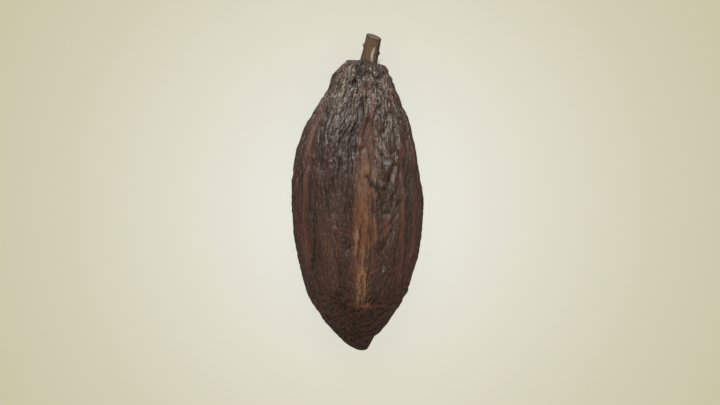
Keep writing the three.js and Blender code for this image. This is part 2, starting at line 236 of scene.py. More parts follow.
rib_height = np.full(station.shape, -RIB_MEAN_HEIGHT)
for i, (at, high, half) in enumerate(RIBS):
    middle = at + RIB_WANDER * np.sin(2 * np.pi * station / RIB_WANDER_LENGTH + RIB_TURN * i)
    rib_height += high * bell(turn(angle, middle) / half)
rib_height *= smooth(station, *RIBS_BEGIN) * (1 - RIBS_SINK_BY * smooth(station, *RIBS_SINK))
print("ribs:", len(RIBS), "relief in mm:", round(float(np.ptp(rib_height)), 1))

# %% [markdown]
# ## How far each place is from a line
# Folds, bands and stains all run along lines on the skin. Such a line is a path: a few places, each a
# station and an angle. What it carries is a bell of the distance to it, so a width and a height finish
# the job. A line drawn with a ruler looks drawn, so every line but the boldest wavers a little.

# %% Distance to a path
WAVER_ALONG, WAVER_ACROSS = 1.0, 0.9  # mm that a path wavers along the pod and across it
WAVER_WIDE, WAVER_LONG = 3.4, 4.6  # mm, the size of one waver
WAVER_STOPS, WAVER_STOPS_BY = (148, 158), 0.8  # the short lines of the crown hold their course
WAVER_SEEDS = (71, 72)

waver_place = (across / WAVER_WIDE, station / WAVER_LONG, up / WAVER_WIDE)
wavering = 1 - WAVER_STOPS_BY * smooth(station, *WAVER_STOPS)
waver_along = WAVER_ALONG * wavering * noise(*waver_place, WAVER_SEEDS[0])
waver_across = WAVER_ACROSS * wavering * noise(*waver_place, WAVER_SEEDS[1])


def distance_to(path, waver=1):
    """Distance on the skin, in mm, from each place to a path of (station, angle) places."""
    per_degree = np.radians(1) * np.maximum(radius, 1)
    nearest = np.full(station.shape, np.inf)
    for (s0, a0), (s1, a1) in zip(path, path[1:]):
        ds, da = s1 - s0, (a1 - a0) * per_degree
        ps = station - s0 + waver * waver_along
        pa = turn(angle, a0) * per_degree + waver * waver_across
        share = np.clip((ps * ds + pa * da) / (ds * ds + da * da), 0, 1)
        nearest = np.minimum(nearest, np.hypot(ps - share * ds, pa - share * da))
    return nearest


def folded(table, waver=1):
    """The height in mm of all the folds of a table, each a path, a half width and a height."""
    return sum(high * bell(distance_to(path, waver) / half) for path, half, high in table)


def painted(marks, waver=1):
    """How strongly each place is covered, from 0 to 1, by marks of a path, a half width and a strength."""
    return np.clip(folded(marks, waver), 0, 1)


print("largest waver in mm:", round(float(np.abs(waver_along).max()), 1))

# %% [markdown]
# ## Folds that stand out one by one
# The eye knows this pod by a few bold creases: the furrow beside the front rib, the crossed folds to
# the right of it, the notch above the beak. They are large enough to be in the solid too, so the
# numbers here are the solid's own: a path, a half width, and a height that is negative for a crease.

# %% Folds
FOLDS = [
    ([(156, 6), (141, -3), (120, -5), (93, -7), (63, -10)], 3.0, -1.5),
    ([(142, -50), (122, -49), (99, -47), (84, -48)], 2.6, -0.9),
    ([(92, -38), (75, -43), (60, -48), (49, -53)], 2.0, -0.8),
    ([(122, 19), (117, 24), (114, 29)], 2.2, -1.0),
    ([(103, 11), (96, 17), (88, 22), (78, 23)], 2.2, -1.1),
    ([(110, 39), (104, 31), (93, 26), (82, 24)], 2.2, -1.0),
    ([(108, 46), (97, 39), (90, 32), (82, 28)], 2.2, -0.9),
    ([(88, 38), (77, 32), (68, 27), (60, 21)], 2.2, -0.8),
    ([(119, 27), (112, 30), (104, 25), (97, 22)], 3.2, 0.6),
    ([(115, -46), (114, -34), (113, -26), (116, -18)], 2.4, 0.9),
    ([(128, 61), (105, 56), (84, 51), (60, 53), (40, 60)], 2.6, -0.8),
    ([(168.5, -19), (166, -15), (163, -13), (158.5, -20), (149, -31)], 2.0, -1.4),
    ([(173, 18), (167, 15), (161, 17), (155, 19), (148, 20)], 1.8, 1.2),
    ([(172, -8), (168.5, -3), (165, -6)], 2.4, -0.9),
    ([(171, 39), (168, 42), (165, 41)], 2.4, -1.3),
    ([(172, 86), (170, 84)], 2.4, 1.2),
    ([(172, -70), (169, -92)], 2.6, -1.3),
    ([(167, 78), (165, 90)], 2.0, -0.9),
    ([(172, -120), (165, -112), (158, -118)], 2.6, -1.3),
    ([(172, 150), (165, 158), (156, 150)], 2.6, -1.3),
    ([(163, -94), (158.5, -90)], 2.4, 0.9),
    ([(157.5, -92), (157.5, -62), (154.5, -36)], 2.4, -0.9),
    ([(22, -18), (25, -4), (25, 8), (30, 24)], 2.2, -0.8),
    ([(23, -98), (22.5, -80), (20, -45)], 1.8, -1.0),
    ([(7.5, 62), (7.5, 90), (8, 116)], 2.6, -1.1),
    ([(48, 92), (41, 92)], 3.2, 0.8),
    ([(70, -92), (64, -92)], 3.2, 0.5),
    ([(12, -92), (8, -88)], 2.2, 0.6),
    ([(150, -155), (120, -153), (92, -150), (60, -156)], 2.8, -1.4),
    ([(134, -118), (108, -120), (96, -114), (70, -117)], 2.6, -1.3),
    ([(112, -104), (103, -110), (93, -117)], 2.4, -1.3),
    ([(140, 92), (118, 93), (92, 90), (60, 94)], 2.6, -1.2),
    ([(106, 108), (97, 101), (86, 94)], 2.4, -1.3),
    ([(144, 130), (116, 128), (88, 131), (52, 128)], 2.8, -1.5),
    ([(126, 160), (112, 152), (100, 143), (86, 133)], 2.4, -1.3),
]  # path of (station, angle), half width in mm, height in mm

bold_folds = folded(FOLDS, waver=0)
print("folds:", len(FOLDS), "deepest in mm:", round(float(-bold_folds.min()), 1))

# %% [markdown]
# ## Shrivelling
# Drying skin buckles at several sizes at once. Slow swellings come first, then long wrinkles, whose
# creases are sharp and whose backs are round: the square root of the distance from a noise's zero line
# gives just that. Short crumpled bumps take over on the beak and the crown.

# %% Coarse shrivelling, the same as the solid's
SWELL = {"across": 24, "along": 46, "high": 2.2, "seed": 11}  # mm
WRINKLE = {"across": 7.5, "along": 32, "high": 2.8, "warp": 0.9, "seed": 23}
CRUMPLE = {"across": 6, "along": 9, "high": 1.5, "seed": 37}
BEND = {"across": 15, "along": 22}  # how quickly the wrinkles change course
WRINKLES_BEGIN, WRINKLES_DEEPEN = (4, 30), (72, 118)  # stations
LOWER_SHARE = 0.45  # of their depth, which the wrinkles have before they deepen
CRUMPLED_BEAK, CRUMPLED_CROWN = (14, 45), (135, 160)  # stations
BETWEEN_SHARE = 0.25  # of the crumpling, which is left between the beak and the crown
CREASE_SOFTNESS, CREASE_LEVEL = 0.02, 0.5  # rounds the bottom of a crease; brings the mean near zero


def at_size(size, seed, shift=0.0, lift=0.0):
    """Noise with bumps of this size in mm, taken a little to the side where shift and lift say."""
    return noise(
        across / size["across"] + shift, station / size["along"] + lift, up / size["across"] - lift, seed
    )


swell = at_size(SWELL, SWELL["seed"])
bend = WRINKLE["warp"] * at_size(BEND, WRINKLE["seed"] + 1)
lift = WRINKLE["warp"] * at_size(BEND, WRINKLE["seed"] + 2)
crease = at_size(WRINKLE, WRINKLE["seed"], bend, lift)
crumple = at_size(CRUMPLE, CRUMPLE["seed"])
deepened = LOWER_SHARE + (1 - LOWER_SHARE) * smooth(station, *WRINKLES_DEEPEN)
long_strength = smooth(station, *WRINKLES_BEGIN) * deepened
at_ends = 1 - smooth(station, *CRUMPLED_BEAK) + smooth(station, *CRUMPLED_CROWN)
crumpled = BETWEEN_SHARE + (1 - BETWEEN_SHARE) * at_ends
shrivelled = (
    SWELL["high"] * 0.5 * swell
    + WRINKLE["high"] * long_strength * (np.sqrt(np.abs(crease) + CREASE_SOFTNESS) - CREASE_LEVEL)
    + CRUMPLE["high"] * 0.5 * crumpled * crumple
)  # a noise runs from -1 to 1, hence the halves
print("shrivelling in mm:", round(float(np.ptp(shrivelled)), 1))

# %% [markdown]
# ## Places without shrivelling
# The pod rests on a small flat spot, pressed while the husk was still soft, and it stays free of every
# wrinkle. Where the bold folds cross, they have pulled the skin tight, so the long wrinkles are lower.

# %% The flat spot and the crossing
FLAT_SPOT_STATION, FLAT_SPOT_LENGTHWISE, FLAT_SPOT_ACROSS = 88, 24, 15  # mm
FLAT_SPOT_EDGE = (0.55, 1.3)  # of those lengths from its middle: no relief, all the relief
CROSSING_STATION, CROSSING_ANGLE = 98, 27
CROSSING_LENGTHWISE, CROSSING_AROUND = 13, 14  # half its size, in mm and in degrees
CROSSING_TIGHTNESS = 0.45  # share of the shrivelling that is pulled out

from_spot = np.hypot(
    np.radians(1) * radius * turn(angle, 180) / FLAT_SPOT_ACROSS,
    (station - FLAT_SPOT_STATION) / FLAT_SPOT_LENGTHWISE,
)
off_the_spot = smooth(from_spot, *FLAT_SPOT_EDGE)
crossing = bell((station - CROSSING_STATION) / CROSSING_LENGTHWISE)
crossing *= bell(turn(angle, CROSSING_ANGLE) / CROSSING_AROUND)
shrivelled *= 1 - CROSSING_TIGHTNESS * crossing
print("share of skin on the flat spot:", round(float((off_the_spot < 1).mean()), 3))

# %% [markdown]
# ## The form
# The coarse relief pushes the skin away from the axis. The axis itself bends a little, the pod is
# slightly flattened, and the crown leans over, as the solid does.

# %% Points of the form
CENTRE_LINE = [
    (0, 3), (5, 1), (10, 0.2), (22, -0.7), (45, -0.1), (62, 1), (90, 0), (102, -0.9),
    (114, -0.2), (126, -0.2), (142, 1.7), (156, 3.4), (166, 4), (176, 5.6),
]  # station, and how far the middle lies to the side, in mm
THICKNESS_SHARE = 0.95  # height of the pod against its width
CROWN_TILT, CROWN_TILT_FROM, CROWN_TILT_FULL = 0.15, 148, 174  # slope, and stations
COARSE_FADE = (0, 7)  # mm of radius at the ends over which the coarse relief comes in

fading = smooth(radius, *COARSE_FADE) * (1 - in_pit)
coarse = fading * (rib_height + off_the_spot * (bold_folds + shrivelled))
sideways = (radius + coarse) * sine
crown_tilt = CROWN_TILT * smooth(station, CROWN_TILT_FROM, CROWN_TILT_FULL)
form = np.stack(
    [
        along(CENTRE_LINE, station) + sideways,
        station - crown_tilt * sideways,
        (THICKNESS_SHARE * radius + coarse) * cosine,
    ],
    axis=2,
)


def grid_normals(points):
    """Unit normals of a grid of points, rings down and columns across, closed all round."""
    down = np.gradient(points, axis=0)
    beside = np.roll(points, -1, axis=1) - np.roll(points, 1, axis=1)
    n = np.cross(down, beside)
    return n / np.maximum(np.linalg.norm(n, axis=2, keepdims=True), 1e-9)


outwards = np.stack([sine, 0 * sine, cosine], axis=2)
form_normals = grid_normals(form)
form_normals *= np.sign(np.sum(form_normals * outwards))
print("form in mm:", [round(float(v), 1) for v in np.ptp(form.reshape(-1, 3), axis=0)])

# %% [markdown]
# ## Bands where the skin stayed smooth
# Along the crests of some ribs the skin is tight and worn: a tan band down the front and thinner
# reddish ones to the sides. The bands calm the wrinkles, and later they carry the colour. A few more
# places are smooth without being worn: the strand that runs down from the stalk, and the skin that is
# stretched beside the crossed folds.

# %% Bands
WORN_MARKS = [
    ([(135, 9), (131, 9), (127, 10)], 2.2, 0.25),
    ([(126, 11), (118, 11), (106, 8)], 6.0, 0.42),
    ([(112, 8), (107, 8), (102, 7)], 3.4, 0.6),
    ([(102, 7), (90, 5), (77, 4)], 4.3, 1.0),
    ([(96, 12), (94, 15), (93, 17)], 1.9, 0.65),
    ([(77, 4), (72, 3), (66, 3)], 4.3, 0.95),
    ([(74, 1), (66, 0), (59, -1)], 2.2, 0.5),
    ([(66, 4), (54, 4), (45, 5)], 3.0, 0.6),
    ([(47, 5), (39, 5), (30, 6)], 3.8, 0.5),
    ([(27, 11), (28, 16)], 1.6, 0.4),
]  # the tan band down the front: path, half width in mm, strength
RED_BANDS = [
    ([(154, -80), (147, -64), (142, -62)], 1.8, 0.5),
    ([(139, -58), (132, -55), (122, -55), (114, -54), (109, -52)], 2.7, 0.95),
    ([(109, -51), (96, -52), (84, -56), (70, -56), (54, -59)], 2.0, 0.9),
    ([(156, 6), (152.5, 11), (149, 15.5), (144, 16), (139, 14.5), (134, 11)], 1.5, 1.0),
    ([(138, 6), (131, 8), (124, 8)], 3.4, 0.5),
    ([(128, 54), (114, 48), (96, 44), (81, 41), (67, 42), (54, 48), (43, 53)], 1.8, 0.7),
    ([(120, 68), (96, 62), (76, 59), (58, 59)], 1.8, 0.7),
    ([(138, -168), (110, -172), (84, -170), (50, -174)], 2.0, 0.9),
    ([(136, 112), (104, 110), (76, 112), (48, 108)], 2.0, 0.9),
    ([(130, -98), (100, -96), (70, -100), (46, -96)], 2.0, 0.8),
    ([(128, 152), (96, 150), (66, 153), (40, 150)], 1.8, 0.8),
]  # reddish bands on the ribs of both flanks and of the back
SMOOTH_MARKS = [
    ([(78, -27), (60, -29), (42, -33)], 5.0, 1.0),
    ([(70, 45), (55, 47), (42, 50)], 3.5, 0.6),
    ([(173, 18), (168.5, 14), (164, 15), (161, 17)], 1.6, 1.0),
    ([(170, 37), (168, 41), (166.5, 43)], 1.8, 0.6),
    ([(78, 15), (67, 14)], 2.0, 0.8),
    ([(80, 30), (72, 25)], 2.2, 0.8),
]  # smooth without being worn
RED_WAVER = 0.4  # the red bands run straighter than most lines

worn = painted(WORN_MARKS)
red = painted(RED_BANDS, waver=RED_WAVER)
stretched = painted(SMOOTH_MARKS)
print("share of skin that is worn:", round(float(worn.mean()), 3), "red:", round(float(red.mean()), 3))

# %% [markdown]
# ## Fine wrinkles
# Skin that shrinks on a soft core buckles, and buckling has a preferred width: the wrinkles are
# about evenly spaced, fork, and weave in and out of each other. A sheet of random numbers from which
# only the waves of one width are kept has just that look. Each sheet closes round the pod, and sheets
# for several radii are blended, so that wrinkles merge towards the stalk and do not shrink.

# %% Sheets of wrinkles
SHEET_LENGTH = 256  # mm from beak to stalk that a sheet covers
SHEET_RADII = (34, 21, 13, 8)  # mm
SHEET_STEPS = 8  # samples in one wrinkle
SHEET_SPREAD = 0.26  # how much the spacing varies, as a share of it


def wrinkle_sheet(circle, width, length, upright, seed):
    """Wrinkles of this width and length in mm; a higher upright value keeps them along the pod."""
    columns = int(SHEET_STEPS * 2 * np.pi * circle / width)
    rows = int(SHEET_STEPS * SHEET_LENGTH / length)
    waves_across = np.fft.fftfreq(columns, 2 * np.pi * circle / columns) * width
    waves_along = np.fft.fftfreq(rows, SHEET_LENGTH / rows) * length
    waves = np.maximum(np.hypot(waves_across[None, :], waves_along[:, None]), 1e-6)
    kept = bell((waves - 1) / SHEET_SPREAD) * (np.abs(waves_across)[None, :] / waves) ** upright
    white = np.random.default_rng(seed).standard_normal((rows, columns))
    sheet = np.fft.ifft2(np.fft.fft2(white) * kept).real
    return sheet / sheet.std()


def read_sheet(sheet, at_angle):
    """The sheet's value at each place, blended between its samples."""
    rows, columns = sheet.shape
    u, v = at_angle / 360 * columns, drawn_arc / SHEET_LENGTH * rows
    left, low = np.floor(u).astype(int), np.floor(v).astype(int)
    total = 0
    for du, share_u in ((0, 1 - u + left), (1, u - left)):
        for dv, share_v in ((0, 1 - v + low), (1, v - low)):
            total = total + share_u * share_v * sheet[(low + dv) % rows, (left + du) % columns]
    return total


print("girths of the sheets in mm:", [round(2 * np.pi * circle) for circle in SHEET_RADII])

# %% [markdown]
# ## Wrinkles all over the skin
# At each place the two sheets whose radii are nearest are blended. A slow noise shifts them from side
# to side, so that the wrinkles swing round each other. The last line turns even waves into skin: the
# backs are rounded off, and the troughs become narrow creases.

# %% Wrinkles from sheets
COURSE_WIDTHS, COURSE_SHIFT = 4, 1.1  # in widths of a wrinkle: how soon it swings, and how far
LEAST_SWING_RADIUS = 4  # mm, so that a swing never becomes a whirl at the ends
WAVE_RANGE = (-1.7, 2.5)  # the rare higher waves are cut off
BACK_ROUNDNESS, BACK_SPAN, BACK_LIFT = 0.7, 1.6, 0.1


def wrinkles(width, length, upright, seed):
    """Wrinkles with round backs and narrow creases, about -1 to 1, over the whole skin."""
    swing = COURSE_WIDTHS * width
    course = noise(across / swing, arc / length, up / swing, seed + 1)
    shift = np.degrees(COURSE_SHIFT * width * course / np.maximum(radius, LEAST_SWING_RADIUS))
    reach = np.log(SHEET_RADII[0] / SHEET_RADII[1])
    total = 0
    power = 0
    for k, circle in enumerate(SHEET_RADII):
        away = np.log(np.clip(radius, SHEET_RADII[-1], SHEET_RADII[0]) / circle)
        weight = np.clip(1 - np.abs(away) / reach, 0, 1)
        sheet = wrinkle_sheet(circle, width, length, upright, seed + 10 * k)
        total = total + weight * read_sheet(sheet, angle + shift)
        power = power + weight**2
    wave = np.clip(total / np.sqrt(power), *WAVE_RANGE)
    return (1 - np.exp(-BACK_ROUNDNESS * wave)) / BACK_SPAN + BACK_LIFT


WEAVE = (4.4, 22, 1.4, 110)
STRANDS = (2.5, 15, 1.8, 150)
GRAIN = (2.0, 8, 1.0, 210)
LINES = (2.4, 44, 3.0, 310)
KNOBS = (3.4, 4.4, 0.0, 410)
CROWN_STRANDS = (2.1, 12, 1.7, 510)  # each kind: mm wide, mm long, how upright, and its sheets' seed
print("widths in mm:", [kind[0] for kind in (WEAVE, STRANDS, GRAIN, LINES, KNOBS, CROWN_STRANDS)])

# %% [markdown]
# ## Where each kind of wrinkle is strong
# The pod has shrunk most near the stalk, so the weave and the strands are deepest there. The beak and
# the flanks are knobbly instead, and the crown has short strands of its own. Each kind is spread over
# the skin by its height in millimetres, and the smooth bands take most of all of them away.

# %% Heights of the wrinkles
RIGHT_FLANK, RIGHT_FLANK_BEGINS = ((48, 68), (105, 135)), (92, 112)  # degrees from the top, stations
BOTH_FLANKS, BOTH_FLANKS_BEGIN = ((62, 82), (108, 128)), (14, 40)
UPPER_STEPS = ((0.55, (62, 105)), (0.45, (118, 140)))  # share and stations of each soft step up
KNOBS_LOST, KNOBS_FADE = 0.8, (24, 50)  # share and stations: mostly the beak is knobbly
KNOBS_REGAINED, KNOBS_RETURN = 0.05, (146, 166)  # and the crown a little
WEAVE_HIGH, WEAVE_HIGHER, WEAVE_BEGINS = 0.16, 0.34, (8, 40)  # mm, mm more on the upper half, stations
STRANDS_HIGH, STRANDS_HIGHER, STRANDS_BEGIN = 0.12, 0.34, (8, 30)
GRAIN_HIGH, GRAIN_HIGHER = 0.14, 0.04
LINES_HIGH, LINES_BEGIN = 0.07, (12, 40)
KNOBS_HIGH, KNOBS_ON_FLANKS = 0.34, 0.26
CROWN_STRANDS_HIGH, CROWN_STRANDS_BEGIN = 0.31, (136, 154)
TAKEN_BY_WORN, TAKEN_BY_RED, TAKEN_BY_STRETCHED, TAKEN_ON_RIGHT = 0.8, 0.85, 0.6, 0.5  # shares

to_the_right = turn(angle, 0)
right_flank = plateau(to_the_right, *RIGHT_FLANK) * smooth(station, *RIGHT_FLANK_BEGINS)
flanks = plateau(np.abs(to_the_right), *BOTH_FLANKS) * smooth(station, *BOTH_FLANKS_BEGIN)
upper_half = sum(share * smooth(station, *step) for share, step in UPPER_STEPS)
knobbly = (1 - KNOBS_LOST * smooth(station, *KNOBS_FADE)) + KNOBS_REGAINED * smooth(station, *KNOBS_RETURN)
calm = (1 - TAKEN_BY_WORN * worn) * (1 - TAKEN_BY_RED * red)
calm *= (1 - TAKEN_ON_RIGHT * right_flank) * (1 - TAKEN_BY_STRETCHED * stretched)
wrinkle_heights = (
    (WEAVE, (WEAVE_HIGH + WEAVE_HIGHER * upper_half) * smooth(station, *WEAVE_BEGINS)),
    (STRANDS, (STRANDS_HIGH + STRANDS_HIGHER * upper_half) * smooth(station, *STRANDS_BEGIN)),
    (GRAIN, GRAIN_HIGH + GRAIN_HIGHER * upper_half),
    (LINES, LINES_HIGH * smooth(station, *LINES_BEGIN)),
    (KNOBS, KNOBS_HIGH * knobbly + KNOBS_ON_FLANKS * flanks),
    (CROWN_STRANDS, CROWN_STRANDS_HIGH * smooth(station, *CROWN_STRANDS_BEGIN)),
)  # a kind of wrinkle, and its height in mm at each place
fine_wrinkles = calm * sum(high * wrinkles(*kind) for kind, high in wrinkle_heights)
print("fine wrinkles in mm:", round(float(np.ptp(fine_wrinkles)), 2))

# %% [markdown]
# ## Creases too thin for the solid
# The split down the front rib, the thin lips of the bold folds and the strands of the crown are about
# a millimetre wide, finer than the solid's triangles. The same tables say them, and together with the
# fine wrinkles they move the skin along its normal, so that they stand square on the bulges.

# %% Thin folds
THIN_FOLDS = [
    ([(77, 5), (75, 3), (72, 1)], 0.8, -0.4),
    ([(71, 1), (66, 1), (61, 1), (57, -1)], 0.7, -0.5),
    ([(47, 6), (43.5, 4), (38.5, 4), (35, 5), (30, 6)], 0.7, -0.5),
    ([(66, 7), (57, 7), (48, 9)], 0.8, -0.3),
    ([(70, -1), (64, -2), (59, -2)], 1.0, 0.4),
    ([(59, 4), (53, 6), (47, 7)], 1.0, 0.3),
    ([(103, 11), (99, 15), (96, 18), (91, 20), (87, 23)], 1.0, -0.5),
    ([(110, 39), (106, 32), (100, 29), (93, 26), (87, 25)], 1.0, -0.4),
    ([(97, 39), (92, 33), (87, 32), (83, 29)], 1.0, -0.4),
    ([(107, 44), (102, 41)], 0.9, -0.5),
    ([(90, 26), (80, 24)], 2.4, 0.7),
    ([(172, -24), (172.3, -12)], 1.6, 0.7),
    ([(88, 38), (77, 32), (68, 27), (62, 22)], 1.0, -0.5),
    ([(121, 20), (117, 24), (114, 27), (114, 33)], 0.9, -0.7),
    ([(92, -38), (86, -40), (75, -43), (66, -45), (60, -48), (54, -52), (49, -53)], 0.9, -0.6),
    ([(93, -37), (81, -39), (71, -43)], 0.9, 0.3),
    ([(77, 20), (62, 21)], 1.0, -0.5),
    ([(152, -1), (142, -4), (133, -5), (124, -7), (113, -9), (102, -9), (87, -12)], 1.1, 0.6),
    ([(134, -13), (120, -13), (111, -15), (102, -16), (87, -17), (75, -18)], 1.0, -0.5),
    ([(151, 23), (145, 30), (139, 23), (133, 28)], 1.0, 0.6),
    ([(152, 43), (142, 43), (133, 39), (125, 39)], 1.0, 0.6),
    ([(126, 63), (105, 56), (84, 50), (69, 50), (51, 56), (39, 61)], 1.0, -0.4),
    ([(149, 11), (146, 11), (142.5, 8), (139, 6)], 1.0, 0.8),
    ([(149, 5.5), (144, 5), (137, 2)], 1.0, -0.7),
    ([(162, 41), (157, 49), (152, 53), (146, 53), (140, 51), (128, 51), (119, 47)], 1.0, 0.6),
    ([(173, 18), (168.5, 13), (164, 15), (160, 17)], 1.1, 0.9),
    ([(167, 24), (164, 23), (161, 22)], 0.8, 0.6),
    ([(169.5, -20), (167, -15), (164, -7), (162, -14), (158, -20)], 0.9, -1.2),
    ([(167.5, 57), (165.5, 43), (163, 28)], 0.9, -1.1),
    ([(171, -9), (168, -3), (165.5, -6)], 2.4, -0.4),
    ([(159, -13), (155, -18), (150, -21)], 1.2, -0.6),
    ([(150, 5), (146, 1), (138, -2)], 1.2, -0.6),
    ([(156, -18), (152, -23), (147, -25)], 1.0, 0.5),
    ([(159, -36), (155, -36), (151, -33)], 1.2, 0.6),
    ([(149, 21), (144, 28), (139, 25)], 1.0, -0.6),
    ([(147, 21), (142, 23), (137, 22)], 1.0, 0.5),
    ([(161, 6), (160, 11), (157, 12)], 1.0, 0.7),
    ([(153, 27), (149, 30), (144, 33)], 1.0, 0.6),
    ([(156, 31), (151, 36), (146, 38)], 0.9, -0.6),
]  # path, half width in mm, height in mm
FINE_FADE = (0, 9)  # mm of radius at the ends over which the fine relief comes in

fine = smooth(radius, *FINE_FADE) * (1 - in_pit) * off_the_spot * (fine_wrinkles + folded(THIN_FOLDS))
skin_points = form + form_normals * fine[:, :, None]
print("thin folds:", len(THIN_FOLDS), "fine relief in mm:", round(float(np.ptp(fine)), 1))

# %% [markdown]
# ## How deep and how raised each place is
# The creases are darkened with painted shade, and the backs carry dust and a painted sheen. Both
# follow from the same measure: the height of the skin against the average height round it.

# %% Hollows and crests
WIDE_WINDOW, SMALL_WINDOW = (5, 6), (2, 2)  # rings and columns to each side of a place
WIDE_FULL = 0.9  # mm above or below its surroundings at which a fold counts in full
SMALL_HOLLOW_FULL, SMALL_CREST_FULL = 0.2, 0.16  # mm, the same for a wrinkle
FOLDS_SHARE, WRINKLES_SHARE = 0.6, 0.6  # of the hollows
FOLD_BACKS_SHARE, WRINKLE_BACKS_SHARE = 0.4, 0.7  # of the crests


def blurred(values, rings, columns):
    """The values averaged over a window of grid places."""
    padded = np.concatenate([np.repeat(values[:1], rings, 0), values, np.repeat(values[-1:], rings, 0)])
    rows = sum(padded[k : k + len(values)] for k in range(2 * rings + 1)) / (2 * rings + 1)
    return sum(np.roll(rows, k, axis=1) for k in range(-columns, columns + 1)) / (2 * columns + 1)


def counted(lift, full):
    """How far a lift in mm counts, from 0 to 1 at its full height."""
    return np.clip(lift / full, 0, 1)


wide_lift = (coarse + fine) - blurred(coarse + fine, *WIDE_WINDOW)
small_lift = fine - blurred(fine, *SMALL_WINDOW)
hollow = FOLDS_SHARE * counted(-wide_lift, WIDE_FULL)
hollow += WRINKLES_SHARE * counted(-small_lift, SMALL_HOLLOW_FULL)
crest = FOLD_BACKS_SHARE * counted(wide_lift, WIDE_FULL)
crest += WRINKLE_BACKS_SHARE * counted(small_lift, SMALL_CREST_FULL)
print("hollow:", round(float(hollow.mean()), 2), "crest:", round(float(crest.mean()), 2))

# %% [markdown]
# ## Marks of colour
# Old skin is patched with what happened to it: rosy where it is thin, olive-grey where a crust of dry
# mould and dust holds. Painted shade makes the pits of the crown almost black. Stains could be painted
# by hand on an image, but marks that run along paths, like folds that add colour in place of height,
# stay sharp at any size and can be moved by one number. Each is a path, a half width in mm and a strength.

# %% Marks of thin skin and of dry crust
ROSY_MARKS = [
    ([(120, -74), (111, -70), (99, -66), (90, -63)], 2.0, 0.6),
    ([(75, -65), (68, -63), (60, -62)], 3.6, 0.9),
    ([(78, -28), (60, -30), (42, -34)], 4.0, 0.35),
    ([(162, 44), (157, 49), (152, 52), (148, 52)], 1.3, 0.8),
    ([(77, 15), (73, 15), (66, 14)], 1.7, 1.0),
    ([(61, 14), (54, 15), (48, 16)], 1.3, 0.9),
    ([(80, 30), (77, 28), (73, 25)], 1.8, 0.9),
    ([(87, 44), (81, 44), (74, 42), (68, 39)], 1.6, 0.7),
    ([(57, 46), (45, 49), (35, 54)], 2.0, 0.6),
    ([(166, -69), (169, -67), (170, -47)], 2.0, 0.8),
    ([(155, -72), (147, -60), (142, -59)], 3.2, 0.5),
    ([(162, 35), (160, 37)], 1.5, 1.6),
    ([(60, -3), (53, -2), (47, -1)], 1.8, 0.8),
    ([(139, 6), (134, 8), (129, 9)], 3.2, 0.6),
    ([(153, 49), (150, 53), (146, 54)], 1.0, 0.9),
    ([(155, 4), (152, 11)], 1.8, 0.5),
    ([(101, 9), (93, 8)], 1.6, 0.4),
]  # thin, reddish skin: path, half width in mm, strength
OLIVE_MARKS = [
    ([(165, -24), (153, -32), (143, -30)], 6.5, 0.9),
    ([(173, 18), (168.5, 13), (164, 15), (161, 16)], 0.9, 1.2),
    ([(77, 20), (69, 21), (61, 21)], 1.0, 1.0),
    ([(71, 12), (62, 12)], 0.9, 0.7),
    ([(95, -16), (87, -17), (76, -18)], 1.2, 0.9),
    ([(68, -23), (57, -26), (47, -26)], 1.2, 0.4),
    ([(53, -20), (40, -22)], 1.2, 0.3),
    ([(120, -45), (105, -42), (93, -40)], 2.4, 0.6),
    ([(75, 52), (60, 52), (45, 58)], 2.0, 0.5),
    ([(96, 30), (81, 35), (70, 31)], 2.0, 0.5),
    ([(150, 35), (135, 36), (120, 36)], 4.0, 0.6),
]  # dry crust of mould and dust

rosy = np.clip(painted(ROSY_MARKS) + red, 0, 1)
olive = painted(OLIVE_MARKS)
print("rosy:", round(float(rosy.mean()), 3), "olive:", round(float(olive.mean()), 3))
